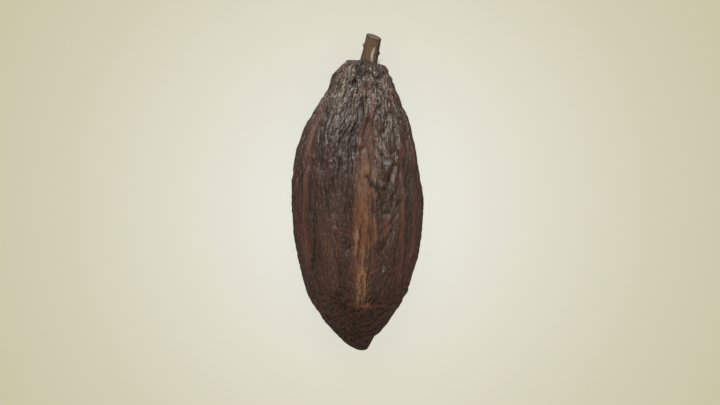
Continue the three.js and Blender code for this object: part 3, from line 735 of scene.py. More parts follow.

# %% [markdown]
# ## Painted shade, and what was rubbed bare
# Painted shade darkens the pits of the crown, the furrows and the cracks, and dims a few slopes that
# catch too much light; a few faint stains go with it. The lips beside a crack stand up and are rubbed
# bare, so most cracks of the worn band are a dark mark between two salmon ones. Pale marks are painted
# highlights on lips and crests, and flecks of dry mould so short that they are nearly round.

# %% Marks of painted shade, of painted highlights and mould, and of bare skin
DARK_MARKS = [
    ([(169.5, -20), (167, -15), (164, -7), (162, -14), (158, -20)], 0.9, 1.0),
    ([(167.5, 57), (165.5, 43), (163, 28)], 0.9, 1.0),
    ([(159, -13), (155, -18), (150, -21)], 1.0, 0.5),
    ([(149, 4), (146, 1), (138, -2), (131, -4), (121, -4)], 1.4, 0.5),
    ([(149, 21), (144, 28), (139, 25)], 0.8, 0.6),
    ([(156, 31), (151, 36), (146, 38)], 0.8, 0.5),
    ([(138, -16), (128, -14), (116, -12)], 6.0, 0.4),
    ([(137, -32), (129, -24), (122, -20)], 4.0, 0.15),
    ([(68, -44), (60, -48), (54, -52), (49, -53)], 0.7, 0.7),
    ([(92, -38), (86, -40), (75, -43)], 0.5, 0.2),
    ([(134, -1), (125, -4), (117, -6), (106, -6)], 2.6, 0.5),
    ([(138, 6), (132, 8), (125, 9)], 3.2, 0.6),
    ([(99, 7), (93, 5)], 4.5, 0.3),
    ([(161, -14), (161.5, -5), (161.5, 5)], 1.5, 0.6),
    ([(161.5, 14), (161.5, 30)], 1.4, 0.5),
    ([(3, 0), (9, 0)], 7.0, 0.2),
    ([(155, 8), (149, 6), (141, 2)], 6.0, 0.15),
    ([(137, 30), (127, 38), (118, 42)], 7.0, 0.15),
    ([(66, -12), (46, -15), (31, -18)], 3.5, 0.3),
    ([(76, -27), (60, -29), (42, -33)], 4.5, 0.12),
    ([(52, 20), (46, 21)], 3.0, 0.15),
    ([(103, 11), (99, 15), (96, 18), (91, 20), (87, 23)], 0.7, 0.7),
    ([(109, 38), (106, 31), (100, 28), (93, 26), (87, 25)], 0.6, 0.3),
    ([(97, 39), (92, 33), (87, 31)], 0.6, 0.2),
    ([(121, 20), (117, 24), (114, 27)], 0.7, 0.5),
    ([(77, 5), (75, 3), (72, 1)], 0.6, 0.35),
    ([(71, 1), (66, 1), (61, 1), (57, -1)], 0.5, 0.45),
    ([(47, 6), (43.5, 4), (38.5, 4), (35, 5), (30, 6)], 0.6, 0.5),
    ([(36, -21), (35, -19)], 1.6, 0.7),
    ([(28, -17), (28, -15)], 1.8, 0.8),
    ([(21, 2), (22, 22)], 4.0, 0.5),
    ([(150, 9), (142, 10)], 5.0, 0.14),
    ([(133, -15), (120, -14)], 6.0, 0.12),
    ([(134, 26), (122, 34)], 6.0, 0.12),
    ([(96, 62), (74, 58)], 6.0, 0.10),
]  # painted shade in pits, furrows and cracks and on slopes that catch too much light, and faint stains
PALE_MARKS = [
    ([(149, 11), (146, 11), (142.5, 8), (139, 6)], 0.8, 0.9),
    ([(165, -32), (167, -29), (168, -23)], 1.6, 0.8),
    ([(159, -36), (155, -36), (151, -33)], 1.0, 0.6),
    ([(161, 6), (160, 11), (157, 12)], 1.0, 1.0),
    ([(166, 24), (163, 23), (161, 22)], 0.7, 0.7),
    ([(123, 22), (120, 26), (117, 30)], 1.3, 0.5),
    ([(108, 13), (106, 18), (103, 19)], 2.2, 0.5),
    ([(105, 35), (101, 33)], 1.0, 0.7),
    ([(50.5, 26), (49, 26)], 0.8, 1.0),
    ([(142, 23), (141.5, 23)], 0.7, 1.0),
    ([(136, 49), (135.5, 49)], 0.7, 1.0),
    ([(138, -7), (137.5, -7)], 0.7, 0.8),
    ([(82, -21), (81.5, -21)], 0.8, 0.8),
    ([(74.5, -21), (74, -21)], 0.7, 0.7),
]  # painted highlights on lips of folds and on crests, and flecks of mould
SALMON_MARKS = [
    ([(74, -1), (68, -2), (63, -2), (59, -2)], 1.1, 0.8),
    ([(60, 4), (53, 6), (46, 7)], 1.4, 0.45),
    ([(46, 2), (39, 2), (31, 3)], 1.0, 0.6),
    ([(46, 8), (40, 8), (33, 8)], 0.9, 0.9),
    ([(52, 6), (40, 6), (32, 6)], 3.6, 0.45),
    ([(27, 13), (28.5, 17)], 1.3, 1.0),
    ([(108, 6), (104, 7), (98, 8), (92, 8)], 1.6, 0.5),
    ([(78, 15), (74, 15), (68, 15)], 1.0, 0.5),
    ([(162, 35), (160, 37)], 1.2, 1.0),
]  # bare skin beside the cracks of the worn band

dark = painted(DARK_MARKS)
pale_marks = painted(PALE_MARKS)
salmon = painted(SALMON_MARKS)
print("dark:", round(float(dark.mean()), 3), "pale:", round(float(pale_marks.mean()), 3))

# %% [markdown]
# ## Dust and painted sheen, crust and bloom
# Dust and a painted sheen lie on the crests, most of all on the shoulder below the crown. A grainy
# crust of sap fills the pits beside the stalk, and a violet bloom, the last of the fresh pod's colour,
# is left where the skin lay in shade.

# %% Marks of dust and painted sheen, crust and bloom
DUST_AND_SHEEN_MARKS = [
    ([(165, -30), (155, -36), (143, -32)], 5.5, 1.0),
    ([(168, -60), (158, -58), (150, -52)], 3.5, 0.6),
    ([(150, 28), (140, 30), (130, 34)], 3.0, 0.5),
    ([(114, 9), (105, 8)], 3.6, 0.4),
    ([(118, 13), (110, 14), (103, 15)], 3.2, 0.6),
]  # where dust and a painted sheen lie thick
DULL_MARKS = [([(139, 6), (132, 8), (124, 8)], 3.8, 1.2)]  # where the wax is gone
CRUST_MARKS = [
    ([(171, -9), (168.5, -5), (165.5, -7)], 2.5, 1.0),
    ([(170, 38), (168, 42), (166.5, 43)], 1.8, 1.0),
]  # the pits beside the stalk's foot
CROWN_STRAND = [([(173, 18), (168.5, 14), (164, 15), (160, 17)], 1.5, 1.0)]  # bare where it crosses them
MAUVE_MARKS = [
    ([(139, -36), (129, -30), (118, -32), (108, -32)], 7.0, 0.9),
    ([(164, -2), (162, 10), (157, 11)], 1.8, 0.8),
    ([(128, -10), (116, -14), (100, -20)], 4.0, 0.5),
    ([(112, 70), (96, 66), (80, 68)], 5.0, 0.5),
    ([(4, 0), (24, 0)], 20.0, 0.35),
    ([(46, -62), (40, -32)], 12.0, 0.3),
    ([(46, 60), (40, 36)], 12.0, 0.3),
]  # violet bloom

mauve = painted(MAUVE_MARKS)
crust = painted(CRUST_MARKS) * (1 - painted(CROWN_STRAND, waver=0))
print("mauve:", round(float(mauve.mean()), 3), "crust:", round(float(crust.mean()), 4))

# %% [markdown]
# ## Measures that change along the pod
# Some things change slowly from the beak to the stalk. The beak is darkest. The upper half shines, and
# its crests carry dust and a painted sheen; the lower half is dull and flaky. Each of these is a soft
# step over the stations, bent by the marks where the skin is tight.

# %% Slow measures
BEAK_FADES = (10, 42)  # stations, as in all the lines below
UPPER_BEGINS = (70, 140)
FLAKES_FADE, FLAKES_LOST, FLAKES_LOST_TIGHT = (98, 145), 0.85, 0.5
# dust and a painted sheen on the crests rise towards the stalk
DUST_AND_SHEEN_RISES, DUST_AND_SHEEN_SHARE = (88, 148), 0.28
DUST_AND_SHEEN_GAP, DUST_AND_SHEEN_GAP_HALF, DUST_AND_SHEEN_GAP_BY = 85, 26, 0.2  # the middle of the pod, with less dust and painted sheen
DUST_AND_SHEEN_LOST_MAUVE, DUST_AND_SHEEN_OF_MARKS = 0.6, 0.6
SHINE_BEGINS, WORN_DULLNESS = (70, 112), 0.8
ROSY_TIGHTNESS = 0.7

tight = np.clip(worn + ROSY_TIGHTNESS * rosy, 0, 1)
beak = 1 - smooth(station, *BEAK_FADES)
upper = smooth(station, *UPPER_BEGINS)
flaky = (1 - FLAKES_LOST * smooth(station, *FLAKES_FADE)) * (1 - FLAKES_LOST_TIGHT * tight)
# the crests are lightened with dust and a painted sheen, most of all near the stalk
dust_and_sheen_gap = DUST_AND_SHEEN_GAP_BY * bell((station - DUST_AND_SHEEN_GAP) / DUST_AND_SHEEN_GAP_HALF)
dust_and_sheen_share = DUST_AND_SHEEN_SHARE - dust_and_sheen_gap + smooth(station, *DUST_AND_SHEEN_RISES)
dust_and_sheen_on_crests = crest * dust_and_sheen_share * (1 - DUST_AND_SHEEN_LOST_MAUVE * mauve)
dust_and_sheen = np.clip(dust_and_sheen_on_crests + DUST_AND_SHEEN_OF_MARKS * painted(DUST_AND_SHEEN_MARKS), 0, 1)
matt = np.clip(1 - smooth(station, *SHINE_BEGINS) + WORN_DULLNESS * (worn + red), 0, 1)
matt += painted(DULL_MARKS)
print("dusty:", round(float(dust_and_sheen.mean()), 3), "matt:", round(float(matt.mean()), 3))

# %% [markdown]
# ## From numbers to a mesh
# A grid of points becomes quads, with a fan of triangles at each end to close it. The measures go
# with the mesh as attributes, where the material can read them.

# %% Closed mesh from a grid
def mesh_from_grid(name, rings, first, last, measures):
    """A closed piece from rings of points, in mm from the beak's end and the pod's axis."""
    count, around = rings.shape[:2]
    points = (np.vstack([first, rings.reshape(-1, 3), last]) + [AXIS_X, BEAK_END, AXIS_HEIGHT]) * MM
    points[:, 2] = np.maximum(points[:, 2], 0)  # what would sink into the surface lies flat on it
    column = np.arange(around)
    beside = (column + 1) % around
    base = 1 + around * np.arange(count - 1)[:, None]
    quads = np.stack([base + column, base + around + column, base + around + beside, base + beside], axis=2)
    end = len(points) - 1
    caps = [(0, 1 + a, 1 + b) for a, b in zip(column, beside)]
    caps += [(end, end - around + b, end - around + a) for a, b in zip(column, beside)]
    mesh = bpy.data.meshes.new(name)
    mesh.from_pydata(points.tolist(), [], quads.reshape(-1, 4).tolist() + caps)
    for key, values in measures.items():
        wide = values.ndim == 3
        layer = mesh.attributes.new(key, "FLOAT_VECTOR" if wide else "FLOAT", "POINT")
        flat = values.reshape(-1, 3) if wide else values.reshape(-1)
        flat = np.concatenate([values[:1].mean(axis=1), flat, values[-1:].mean(axis=1)])
        layer.data.foreach_set("vector" if wide else "value", flat.astype(np.float32).ravel())
    build = bmesh.new()
    build.from_mesh(mesh)
    if build.calc_volume(signed=True) < 0:
        bmesh.ops.reverse_faces(build, faces=build.faces)
    build.to_mesh(mesh)
    build.free()
    mesh.shade_smooth()
    made = bpy.data.objects.new(name, mesh)
    scene.collection.objects.link(made)
    return made


def triangle_count(piece):
    """How many triangles the faces of a piece make."""
    return sum(len(face.vertices) - 2 for face in piece.data.polygons)


print("bottom of the husk's grid at mm:", round(float(skin_points[:, :, 2].min() + AXIS_HEIGHT), 2))

# %% [markdown]
# ## The husk's skin
# The husk is one closed skin, as it grew. Besides its measures it carries the place from which its
# patterns are read. That place lies on a straight column, so that a streak keeps its width while the
# pod swells and narrows under it; near the ends the column narrows a little more slowly than the pod.

# %% The husk
TEXTURE_RADIUS, TEXTURE_POWER = 36, 0.9  # mm, and how fast the column narrows with the pod

texture_radius = TEXTURE_RADIUS * (radius / TEXTURE_RADIUS) ** TEXTURE_POWER
skin_place = np.stack([texture_radius * sine, drawn_arc, texture_radius * cosine], axis=2) * MM
husk = mesh_from_grid(
    "husk_skin",
    skin_points,
    [CENTRE_LINE[0][1], 0, 0],
    [along(CENTRE_LINE, PROFILE[-1][0]), PROFILE[-1][0], 0],
    {
        "skin_place": skin_place,
        "hollow": hollow,
        "worn": worn,
        "rosy": rosy,
        "olive": olive,
        "dark": dark,
        "pale": pale_marks,
        "salmon": salmon,
        "crust": crust,
        "matt": matt,
        "dust_and_sheen": dust_and_sheen,
        "mauve": mauve,
        "beak": beak,
        "upper": upper,
        "calm": calm,
        "flaky": flaky,
        "tight": tight,
    },
)
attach(husk, "root")
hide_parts("pod")
print("husk triangles:", triangle_count(husk), "size in mm:", [round(v / MM, 1) for v in husk.dimensions])

# %% [markdown]
# ## The stalk
# The stalk is wood: round with slight corners, swollen where it leaves the pod, with scars where side
# shoots fell off, and sawn across at the end. It has its own grid, whose rings lean over into the plane
# of the cut, and then close on the cut face in smaller and smaller rings.

# %% The stalk's own directions and grid
STALK_FOOT = np.array([4.7, 163, -1.2])  # mm: aside, station, above the axis
STALK_CUT = np.array([10, 187.7, 5.4])
STALK_CUT_NORMAL = np.array([0.36, 1, 0.42])
STALK_RINGS, STALK_COLUMNS = 130, 96

stalk_axis = STALK_CUT - STALK_FOOT
stalk_length = np.linalg.norm(stalk_axis)
stalk_axis = stalk_axis / stalk_length
stalk_right = np.cross(stalk_axis, [0, 0, 1])
stalk_right /= np.linalg.norm(stalk_right)
stalk_up = np.cross(stalk_right, stalk_axis)
cut_normal = STALK_CUT_NORMAL / np.linalg.norm(STALK_CUT_NORMAL)
stem_share, stem_angle = np.meshgrid(
    np.linspace(0, 1, STALK_RINGS), 360 * np.arange(STALK_COLUMNS) / STALK_COLUMNS, indexing="ij"
)
stem_sine, stem_cosine = np.sin(np.radians(stem_angle)), np.cos(np.radians(stem_angle))
print("stalk length in mm:", round(float(stalk_length), 1))

# %% [markdown]
# ## Bark and scars
# The side of the stalk is a radius for each place. Bark takes a little away from it, in long grooves
# with pimples on them, and each scar of a fallen side shoot adds a low bump with a dimple in its middle.

# %% Bark and scars
STALK_RADII = [(0, 4.5), (0.3, 4.9), (0.46, 5.3), (0.56, 5.1), (0.75, 4.85), (1, 4.65)]  # share, mm
CORNERS, CORNER_HIGH, CORNER_TURN = 3, 0.12, 1  # very slightly three-cornered: mm, radians
GROOVE = {"wide": 0.9, "long": 9, "high": 0.16, "seed": 91}  # mm
PIMPLE = {"wide": 0.7, "long": 0.8, "high": 0.07, "seed": 92}
BARK_RADIUS = 4.6  # mm, where the bark's noise is read
STALK_SCARS = [
    (0.75, -84, 0.9, 0.9), (0.66, 86, 0.95, 1.1), (0.7, 190, 1.2, 0.6),
]  # share of the length, angle, half width in mm, height in mm
SCAR_PIT, SCAR_PIT_HALF = 0.5, 0.35  # of the scar's height and width: the dimple in its middle
BARK_ENDS = (0, 0.02)  # share of the length before the cut over which the bark's relief fades
LEANING = (0.5, 1)  # shares of the length between which the rings lean into the plane of the cut


def bark_noise(size):
    """Noise round the stalk with bumps of this size in mm."""
    girth = BARK_RADIUS / size["wide"]
    upwards = stem_share * stalk_length / size["long"]
    return noise(girth * stem_sine, upwards, girth * stem_cosine, size["seed"])


stem_radius = along(STALK_RADII, stem_share)
stem_radius += CORNER_HIGH * np.cos(CORNERS * np.radians(stem_angle) + CORNER_TURN + stem_share)
bark = GROOVE["high"] * np.abs(bark_noise(GROOVE)) + PIMPLE["high"] * np.clip(bark_noise(PIMPLE), 0, 1)
stem_radius -= bark * smooth(1 - stem_share, *BARK_ENDS)
for at, where, half, high in STALK_SCARS:
    off = np.hypot(np.radians(turn(stem_angle, where)) * stem_radius, (stem_share - at) * stalk_length) / half
    stem_radius += high * bell(off) - SCAR_PIT * high * bell(off / SCAR_PIT_HALF)
offset = stem_radius[:, :, None] * (stem_sine[:, :, None] * stalk_right + stem_cosine[:, :, None] * stalk_up)
lean = -(offset @ cut_normal) / (stalk_axis @ cut_normal) * smooth(stem_share, *LEANING)
stem_side = STALK_FOOT + (stem_share * stalk_length + lean)[:, :, None] * stalk_axis + offset
print("stalk radius in mm:", [round(float(f(stem_radius)), 1) for f in (np.min, np.max)])

# %% [markdown]
# ## The sawn face
# A saw leaves a flat face with fine tooth marks, and bark that ends in a sharp rim. The face is made of
# rings that shrink towards its middle. Measures for the side of the stalk stop at the rim, so a small
# helper carries each of them on over the face.

# %% The sawn face, and the piece
CUT_RINGS = 14
SAW_MARK = {"wide": 0.5, "high": 0.1, "seed": 95}  # mm
PALE_MIDDLE = [(0.42, 30), (0.50, 20), (0.62, 15), (0.76, 21), (0.82, 25)]  # share, angle
PALE_HALF = [(0.42, 7), (0.50, 6), (0.70, 7), (0.82, 4)]  # share, degrees
PALE_ENDS = ((0.36, 0.42), (0.78, 0.84))  # shares where the pale smear begins and stops
SHADED_SIDE = ((42, 62), (120, 150))  # degrees, the side darkened with painted shade
ROSY_ANGLE, ROSY_HALF, ROSY_BEGINS = -12, 26, (0.5, 0.6)  # degrees, degrees, shares
RIM_ON_SIDE, RIM_ON_FACE = (0.975, 0.99), (0.74, 0.9)  # shares of the length, and of the face's radius

inward = np.linspace(1, 0, CUT_RINGS + 1)[1:-1]
cut_face = np.stack([STALK_CUT + (stem_side[-1] - STALK_CUT) * k for k in inward])
face_x, face_z = cut_face[:, :, 0], cut_face[:, :, 2]
saw_marks = noise(face_x / SAW_MARK["wide"], face_z / SAW_MARK["wide"], 0 * face_x, SAW_MARK["seed"])
cut_face = cut_face + SAW_MARK["high"] * saw_marks[:, :, None] * cut_normal


def with_cut(on_side, on_face):
    """A measure of the side, followed by its values on the rings of the sawn face."""
    return np.concatenate([on_side, np.broadcast_to(on_face, (len(inward), STALK_COLUMNS))])


pale = bell(turn(stem_angle, along(PALE_MIDDLE, stem_share)) / along(PALE_HALF, stem_share))
pale *= plateau(stem_share, *PALE_ENDS)
shaded = plateau(turn(stem_angle, 0), *SHADED_SIDE)
stem_rosy = bell(turn(stem_angle, ROSY_ANGLE) / ROSY_HALF) * smooth(stem_share, *ROSY_BEGINS)
stalk = mesh_from_grid(
    "stalk_wood",
    np.concatenate([stem_side, cut_face]),
    STALK_FOOT,
    STALK_CUT,
    {
        "on_cut": with_cut(0 * stem_share, 1.0),
        "rim": with_cut(smooth(stem_share, *RIM_ON_SIDE), smooth(inward[:, None], *RIM_ON_FACE)),
        "pale": with_cut(pale, 0.0),
        "shaded": with_cut(shaded, 0.0),
        "rosy": with_cut(stem_rosy, 0.0),
    },
)
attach(stalk, "root")
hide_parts("stem")
print("stalk triangles:", triangle_count(stalk))

# %% [markdown]
# ## Lint
# A few curled fibres cling to the foot of the stalk and to the scar on its side. Each is a thin closed
# tube round a smooth curve through a few points.

# %% Lint
LINT = [
    [(11.2, 174.0, 3.2), (12.4, 173.3, 4.4), (13.3, 172.8, 4.8), (14.3, 173.1, 4.4), (15.0, 174.0, 3.8)],
    [(11.8, 174.6, 2.6), (12.8, 173.9, 3.4), (13.8, 174.3, 3.6), (14.6, 173.6, 3.2)],
    [(11.6, 175.8, 1.4), (12.3, 174.8, 2.4), (12.6, 173.6, 3.6), (13.2, 172.5, 5.0)],
    [(12.3, 172.4, 5.6), (13.3, 172.1, 5.4), (14.2, 172.7, 4.6)],
    [(4.3, 183.4, 4.0), (3.4, 184.3, 4.4), (3.9, 185.0, 4.6)],
    [(4.1, 182.9, 4.2), (3.2, 183.2, 4.6), (2.9, 182.5, 4.4)],
]  # points in mm, from the pod's axis and the beak's end
LINT_RADIUS, LINT_CORNERS = 0.16, 6  # mm, and corners of the tube
LINT_END_SHARE = 0.4  # of its radius, added to by a sine so that it is thickest in the middle
LINT_HALF_WAVE = (0.1, 0.9)  # the stretch of that sine's half wave that a fibre takes up
LINT_STEP = 6  # every sixth point of the curve is enough
SIDE_HINT = [0.31, 0.22, 0.92]  # any direction that no fibre runs in


def fibre(points):
    """Rings round a smooth curve through the points, thinner towards both ends."""
    curve = centripetal_curve(points)[::LINT_STEP]
    course = np.gradient(curve, axis=0)
    course /= np.linalg.norm(course, axis=1, keepdims=True)
    side = np.cross(course, SIDE_HINT)
    side /= np.linalg.norm(side, axis=1, keepdims=True)
    other = np.cross(course, side)
    fullness = np.sin(np.pi * np.linspace(*LINT_HALF_WAVE, len(curve)))
    thickness = LINT_RADIUS * (LINT_END_SHARE + (1 - LINT_END_SHARE) * fullness)
    around = 2 * np.pi * np.arange(LINT_CORNERS) / LINT_CORNERS
    spokes = np.cos(around)[:, None] * side[:, None, :] + np.sin(around)[:, None] * other[:, None, :]
    return curve[:, None, :] + thickness[:, None, None] * spokes, curve


lint = []
for k, points in enumerate(LINT):
    rings, curve = fibre(points)
    thread = mesh_from_grid(f"lint_{k + 1}", rings[1:-1], curve[0], curve[-1], {})
    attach(thread, "root")
    lint.append(thread)
print("fibres:", len(lint), "triangles:", sum(triangle_count(thread) for thread in lint))

# %% [markdown]
# ## Nodes, added one way
# A material is a graph of nodes. One small function adds a node, sets it up, fills or links its
# inputs and gives back an output, so that a material reads as a list of steps. Colours are written as
# the hex values that a picture editor shows, and turned to linear light in one place. Patterns are
# sized in millimetres: a size across and a size along the pod become the scale of a Mapping node.

# %% Node helper, colours and scales
def linear(hex_value):
    """An sRGB colour such as "6c5844" as linear RGBA."""
    parts = [int(hex_value[k : k + 2], 16) / 255 for k in (0, 2, 4)]
    return (*[p / 12.92 if p <= 0.04045 else ((p + 0.055) / 1.055) ** 2.4 for p in parts], 1.0)


def pattern_scale(wide, long):
    """The scale, in patterns per metre, of a pattern of this size in mm across and along the piece."""
    return (1 / (wide * MM), 1 / (long * MM), 1 / (wide * MM))


def add_node(tree, kind, inputs, output=0, **settings):
    """Adds a node; its inputs are values, or outputs of other nodes to link from."""
    made = tree.nodes.new("ShaderNode" + kind)
    for key, value in settings.items():
        setattr(made, key, value)
    for key, value in inputs.items():
        if isinstance(value, bpy.types.NodeSocket):
            tree.links.new(value, made.inputs[key])
        else:
            made.inputs[key].default_value = value
    return made.outputs[output] if made.outputs else None


def start_material(name):
    """A new material with an empty graph."""
    material = bpy.data.materials.new(name)
    material.use_nodes = True
    material.node_tree.nodes.clear()
    return material


print("middle grey in linear light:", round(linear("808080")[0], 3))

# %% [markdown]
# ## Coats of colour
# Real skin is not one colour with noise on it. It is a stack of thin coats, each of its own colour,
# its own grain and its own places. A coat here is a row of numbers: the colour, how much of it, the
# size of its patches in mm across and along, the two levels of noise between which a patch's edge
# runs, and the measure that says where it lies. Near levels give sharp edges, low ones more cover.

# %% Lay coats over a colour
COAT_SHIFT = (7.3, 3.1, 0)  # patches between one coat's pattern and the next one's
COAT_DETAIL, COAT_ROUGHNESS = 3.0, 0.55


def lay_coats(tree, place, colour, coats):
    """Mixes each coat over the last. The place is a vector in metres along which patterns are sized."""
    for k, (coat, share, size, edges, where) in enumerate(coats):
        amount = share
        if size:
            shift = [k * step for step in COAT_SHIFT]
            spot = {"Vector": place, "Scale": pattern_scale(*size), "Location": shift}
            spot = add_node(tree, "Mapping", spot)
            grain = {"Vector": spot, "Scale": 1.0, "Detail": COAT_DETAIL, "Roughness": COAT_ROUGHNESS}
            grain = add_node(tree, "TexNoise", grain)
            amount = {"Value": grain, "From Min": edges[0], "From Max": edges[1], "To Max": share}
            amount = add_node(tree, "MapRange", amount)
        if where:
            measure = where
            if isinstance(where, str):
                measure = add_node(tree, "Attribute", {}, "Fac", attribute_name=where)
            amount = add_node(tree, "Math", {0: amount, 1: measure}, operation="MULTIPLY")
        mixed = {"Factor": amount, "A": colour, "B": linear(coat)}
        colour = add_node(tree, "Mix", mixed, "Result", data_type="RGBA")
    return colour


print("a pattern of 2 by 8 mm repeats per metre:", pattern_scale(2, 8))

# %% [markdown]
# ## Dried husk
# The husk is dried plant skin, leathery and a little resinous. It is not a paint or a leather, so its
# gloss comes only from the waxy surface, with an IOR near 1.45, and it differs from place to place: the
# backs of the wrinkles shine, the creases are matt. Its browns come in patches and long streaks.

# %% Husk: coats of colour
HUSK_COATS = [
    ("482e21", 1.0, (9, 30), (0.38, 0.62), None),  # brown patches
    ("573729", 0.4, (3.0, 24), (0.50, 0.66), None),  # long tan streaks
    ("36231b", 0.4, (2.4, 18), (0.52, 0.64), None),  # long dark streaks
    ("45392c", 0.7, (8.0, 26), (0.50, 0.62), None),  # dusty olive patches
    ("5a3226", 0.7, (8.0, 30), (0.50, 0.62), None),  # rusty patches
    ("66483a", 0.6, (1.1, 4.2), (0.53, 0.62), "flaky"),  # light flakes
    ("241915", 0.6, (1.0, 3.6), (0.53, 0.62), "flaky"),  # dark flakes
    ("583829", 0.4, (5, 24), (0.30, 0.60), "matt"),  # warmer brown where the wax has gone
    ("271b19", 0.38, (3, 6), (0.25, 0.55), "beak"),  # the beak, nearly black
    ("84725f", 0.75, (1.1, 8), (0.40, 0.60), "dust_and_sheen"),  # dust and a painted sheen on the crests
    ("3c2a2a", 0.8, (2.0, 8), (0.30, 0.60), "mauve"),  # bloom, a dark violet brown
    ("6c4032", 0.9, (3.0, 22), (0.22, 0.50), "rosy"),  # thin skin, reddish
    ("5c5142", 0.9, (1.6, 5), (0.38, 0.60), "olive"),  # dry crust, olive grey
    ("704322", 1.0, (1.6, 26), (0.14, 0.44), "worn"),  # the tan of the worn band
    ("855633", 0.5, (1.0, 12), (0.46, 0.64), "worn"),  # and its lighter fibres
    ("4a2c1a", 0.5, (1.1, 14), (0.50, 0.62), "worn"),  # and its darker ones
    ("987256", 0.75, (0.9, 2.4), (0.30, 0.52), "salmon"),  # bare lips of the cracks
    ("9a8a78", 0.9, (0.8, 1.4), (0.30, 0.50), "pale"),  # painted highlights, and flecks of dry mould
    ("2b1a10", 0.85, None, None, "hollow"),  # painted shade in every crease
    ("7d756c", 0.85, (1.2, 1.2), (0.40, 0.56), "crust"),  # granules in the pits
    ("21140c", 0.85, None, None, "dark"),  # painted shade in creases, furrows and pits, and faint stains
]
SKIN_DARK = "372319"  # the skin under all the coats

husk_material = start_material("dried_pod_skin")
tree = husk_material.node_tree
place = add_node(tree, "Attribute", {}, "Vector", attribute_name="skin_place")
upper_measure = add_node(tree, "Attribute", {}, "Fac", attribute_name="upper")
print("coats:", len(HUSK_COATS))

# %% [markdown]
# ## Cracks between plates of skin
# The dull skin of the lower half has cracked into small plates. Cells round scattered points look like
# such plates, and the distance to a cell's edge gives the cracks. Tight skin has hardly any of them,
# and the shiny upper half only few.

# %% Husk: cracks
PLATE = (1.5, 5.5)  # mm wide and long
PLATE_WAVER, PLATE_WAVER_SCALE = 0.9, 1.3  # how far the cracks stray, in plates, and how often
CRACK_SHARE = 0.16  # of a plate's half width
CRACKS_ABOVE = 0.3  # share of the cracks that the upper half has
CRACKS_CLOSED = 0.65  # share of them that tight skin has not

plates = add_node(tree, "Mapping", {"Vector": place, "Scale": pattern_scale(*PLATE)})
waver = add_node(tree, "TexNoise", {"Vector": plates, "Scale": PLATE_WAVER_SCALE, "Detail": 1.0}, "Color")
strayed = {0: waver, 1: [PLATE_WAVER] * 3, 2: plates}
plates = add_node(tree, "VectorMath", strayed, operation="MULTIPLY_ADD")
from_edge = add_node(
    tree, "TexVoronoi", {"Vector": plates, "Scale": 1.0}, "Distance", feature="DISTANCE_TO_EDGE"
)
crack = {"Value": from_edge, "From Max": CRACK_SHARE, "To Min": 1.0, "To Max": 0.0}
crack = add_node(tree, "MapRange", crack)
crack_share = add_node(tree, "MapRange", {"Value": upper_measure, "To Min": 1.0, "To Max": CRACKS_ABOVE})
crack = add_node(tree, "Math", {0: crack, 1: crack_share}, operation="MULTIPLY")
tight_measure = add_node(tree, "Attribute", {}, "Fac", attribute_name="tight")
uncracked = add_node(tree, "Math", {0: tight_measure, 1: -CRACKS_CLOSED, 2: 1.0}, operation="MULTIPLY_ADD")
crack = add_node(tree, "Math", {0: crack, 1: uncracked}, operation="MULTIPLY")
HUSK_COATS.append(("25170f", 0.5, None, None, crack))  # painted shade in the cracks
print("plates round the pod:", round(2 * np.pi * TEXTURE_RADIUS / PLATE[0]))

# %% [markdown]
# ## A net of thin creases
# The shiny skin of the upper half did not crack but folded, along a net of fine creases. Where a smooth
# noise passes through its middle level it draws such a net: lines that meet, part and never end.

# %% Husk: the net
NET = (2.1, 13.0)  # mm wide and long
NET_BACK, NET_LINE = 0.10, 0.02  # how far from a crease, in levels of noise, its back and its painted shade reach
NET_LEVEL = 0.5  # the middle level of the noise
NET_ROUNDNESS = 0.6  # below 1, so that the backs are broad and the creases narrow

net_place = add_node(tree, "Mapping", {"Vector": place, "Scale": pattern_scale(*NET)})
net = add_node(tree, "TexNoise", {"Vector": net_place, "Scale": 1.0, "Detail": 0.6, "Distortion": 0.2})
from_crease = add_node(tree, "Math", {0: net, 1: NET_LEVEL}, operation="SUBTRACT")
from_crease = add_node(tree, "Math", {0: from_crease}, operation="ABSOLUTE")
net_back = add_node(tree, "MapRange", {"Value": from_crease, "From Max": NET_BACK})
net_back = add_node(tree, "Math", {0: net_back, 1: NET_ROUNDNESS}, operation="POWER")
net_line = {"Value": from_crease, "From Max": NET_LINE, "To Min": 1.0, "To Max": 0.0}
net_line = add_node(tree, "MapRange", net_line)
net_line = add_node(tree, "Math", {0: net_line, 1: upper_measure}, operation="MULTIPLY")
HUSK_COATS.append(("22150d", 0.5, None, None, net_line))  # painted shade in the creases of the net
print("creases of the net round the pod:", round(2 * np.pi * TEXTURE_RADIUS / NET[0]))

# %% [markdown]
# ## Granules of crust
# The pits round the stalk's foot hold a grainy crust of dried sap and dust. Round cells make its
# granules: pale in the middle, darkened with painted shade between them, and raised in the bump that
# follows. All the coats are known now, so the colour of the skin can be laid.

# %% Husk: granules, and the colour of the skin
GRANULE = 1.6  # mm
GRANULE_GAP = (0.34, 0.58)  # distance from a granule's middle, in granules, where the gap begins and is full

granule_distance = add_node(tree, "TexVoronoi", {"Vector": place, "Scale": 1 / (GRANULE * MM)}, "Distance")
crust_measure = add_node(tree, "Attribute", {}, "Fac", attribute_name="crust")
between = {"Value": granule_distance, "From Min": GRANULE_GAP[0], "From Max": GRANULE_GAP[1]}
between = add_node(tree, "MapRange", between)
between = add_node(tree, "Math", {0: between, 1: crust_measure}, operation="MULTIPLY")
HUSK_COATS.append(("1a120d", 0.7, None, None, between))  # painted shade in the gaps between granules
skin_colour = lay_coats(tree, place, linear(SKIN_DARK), HUSK_COATS)
print("coats with the late ones:", len(HUSK_COATS))

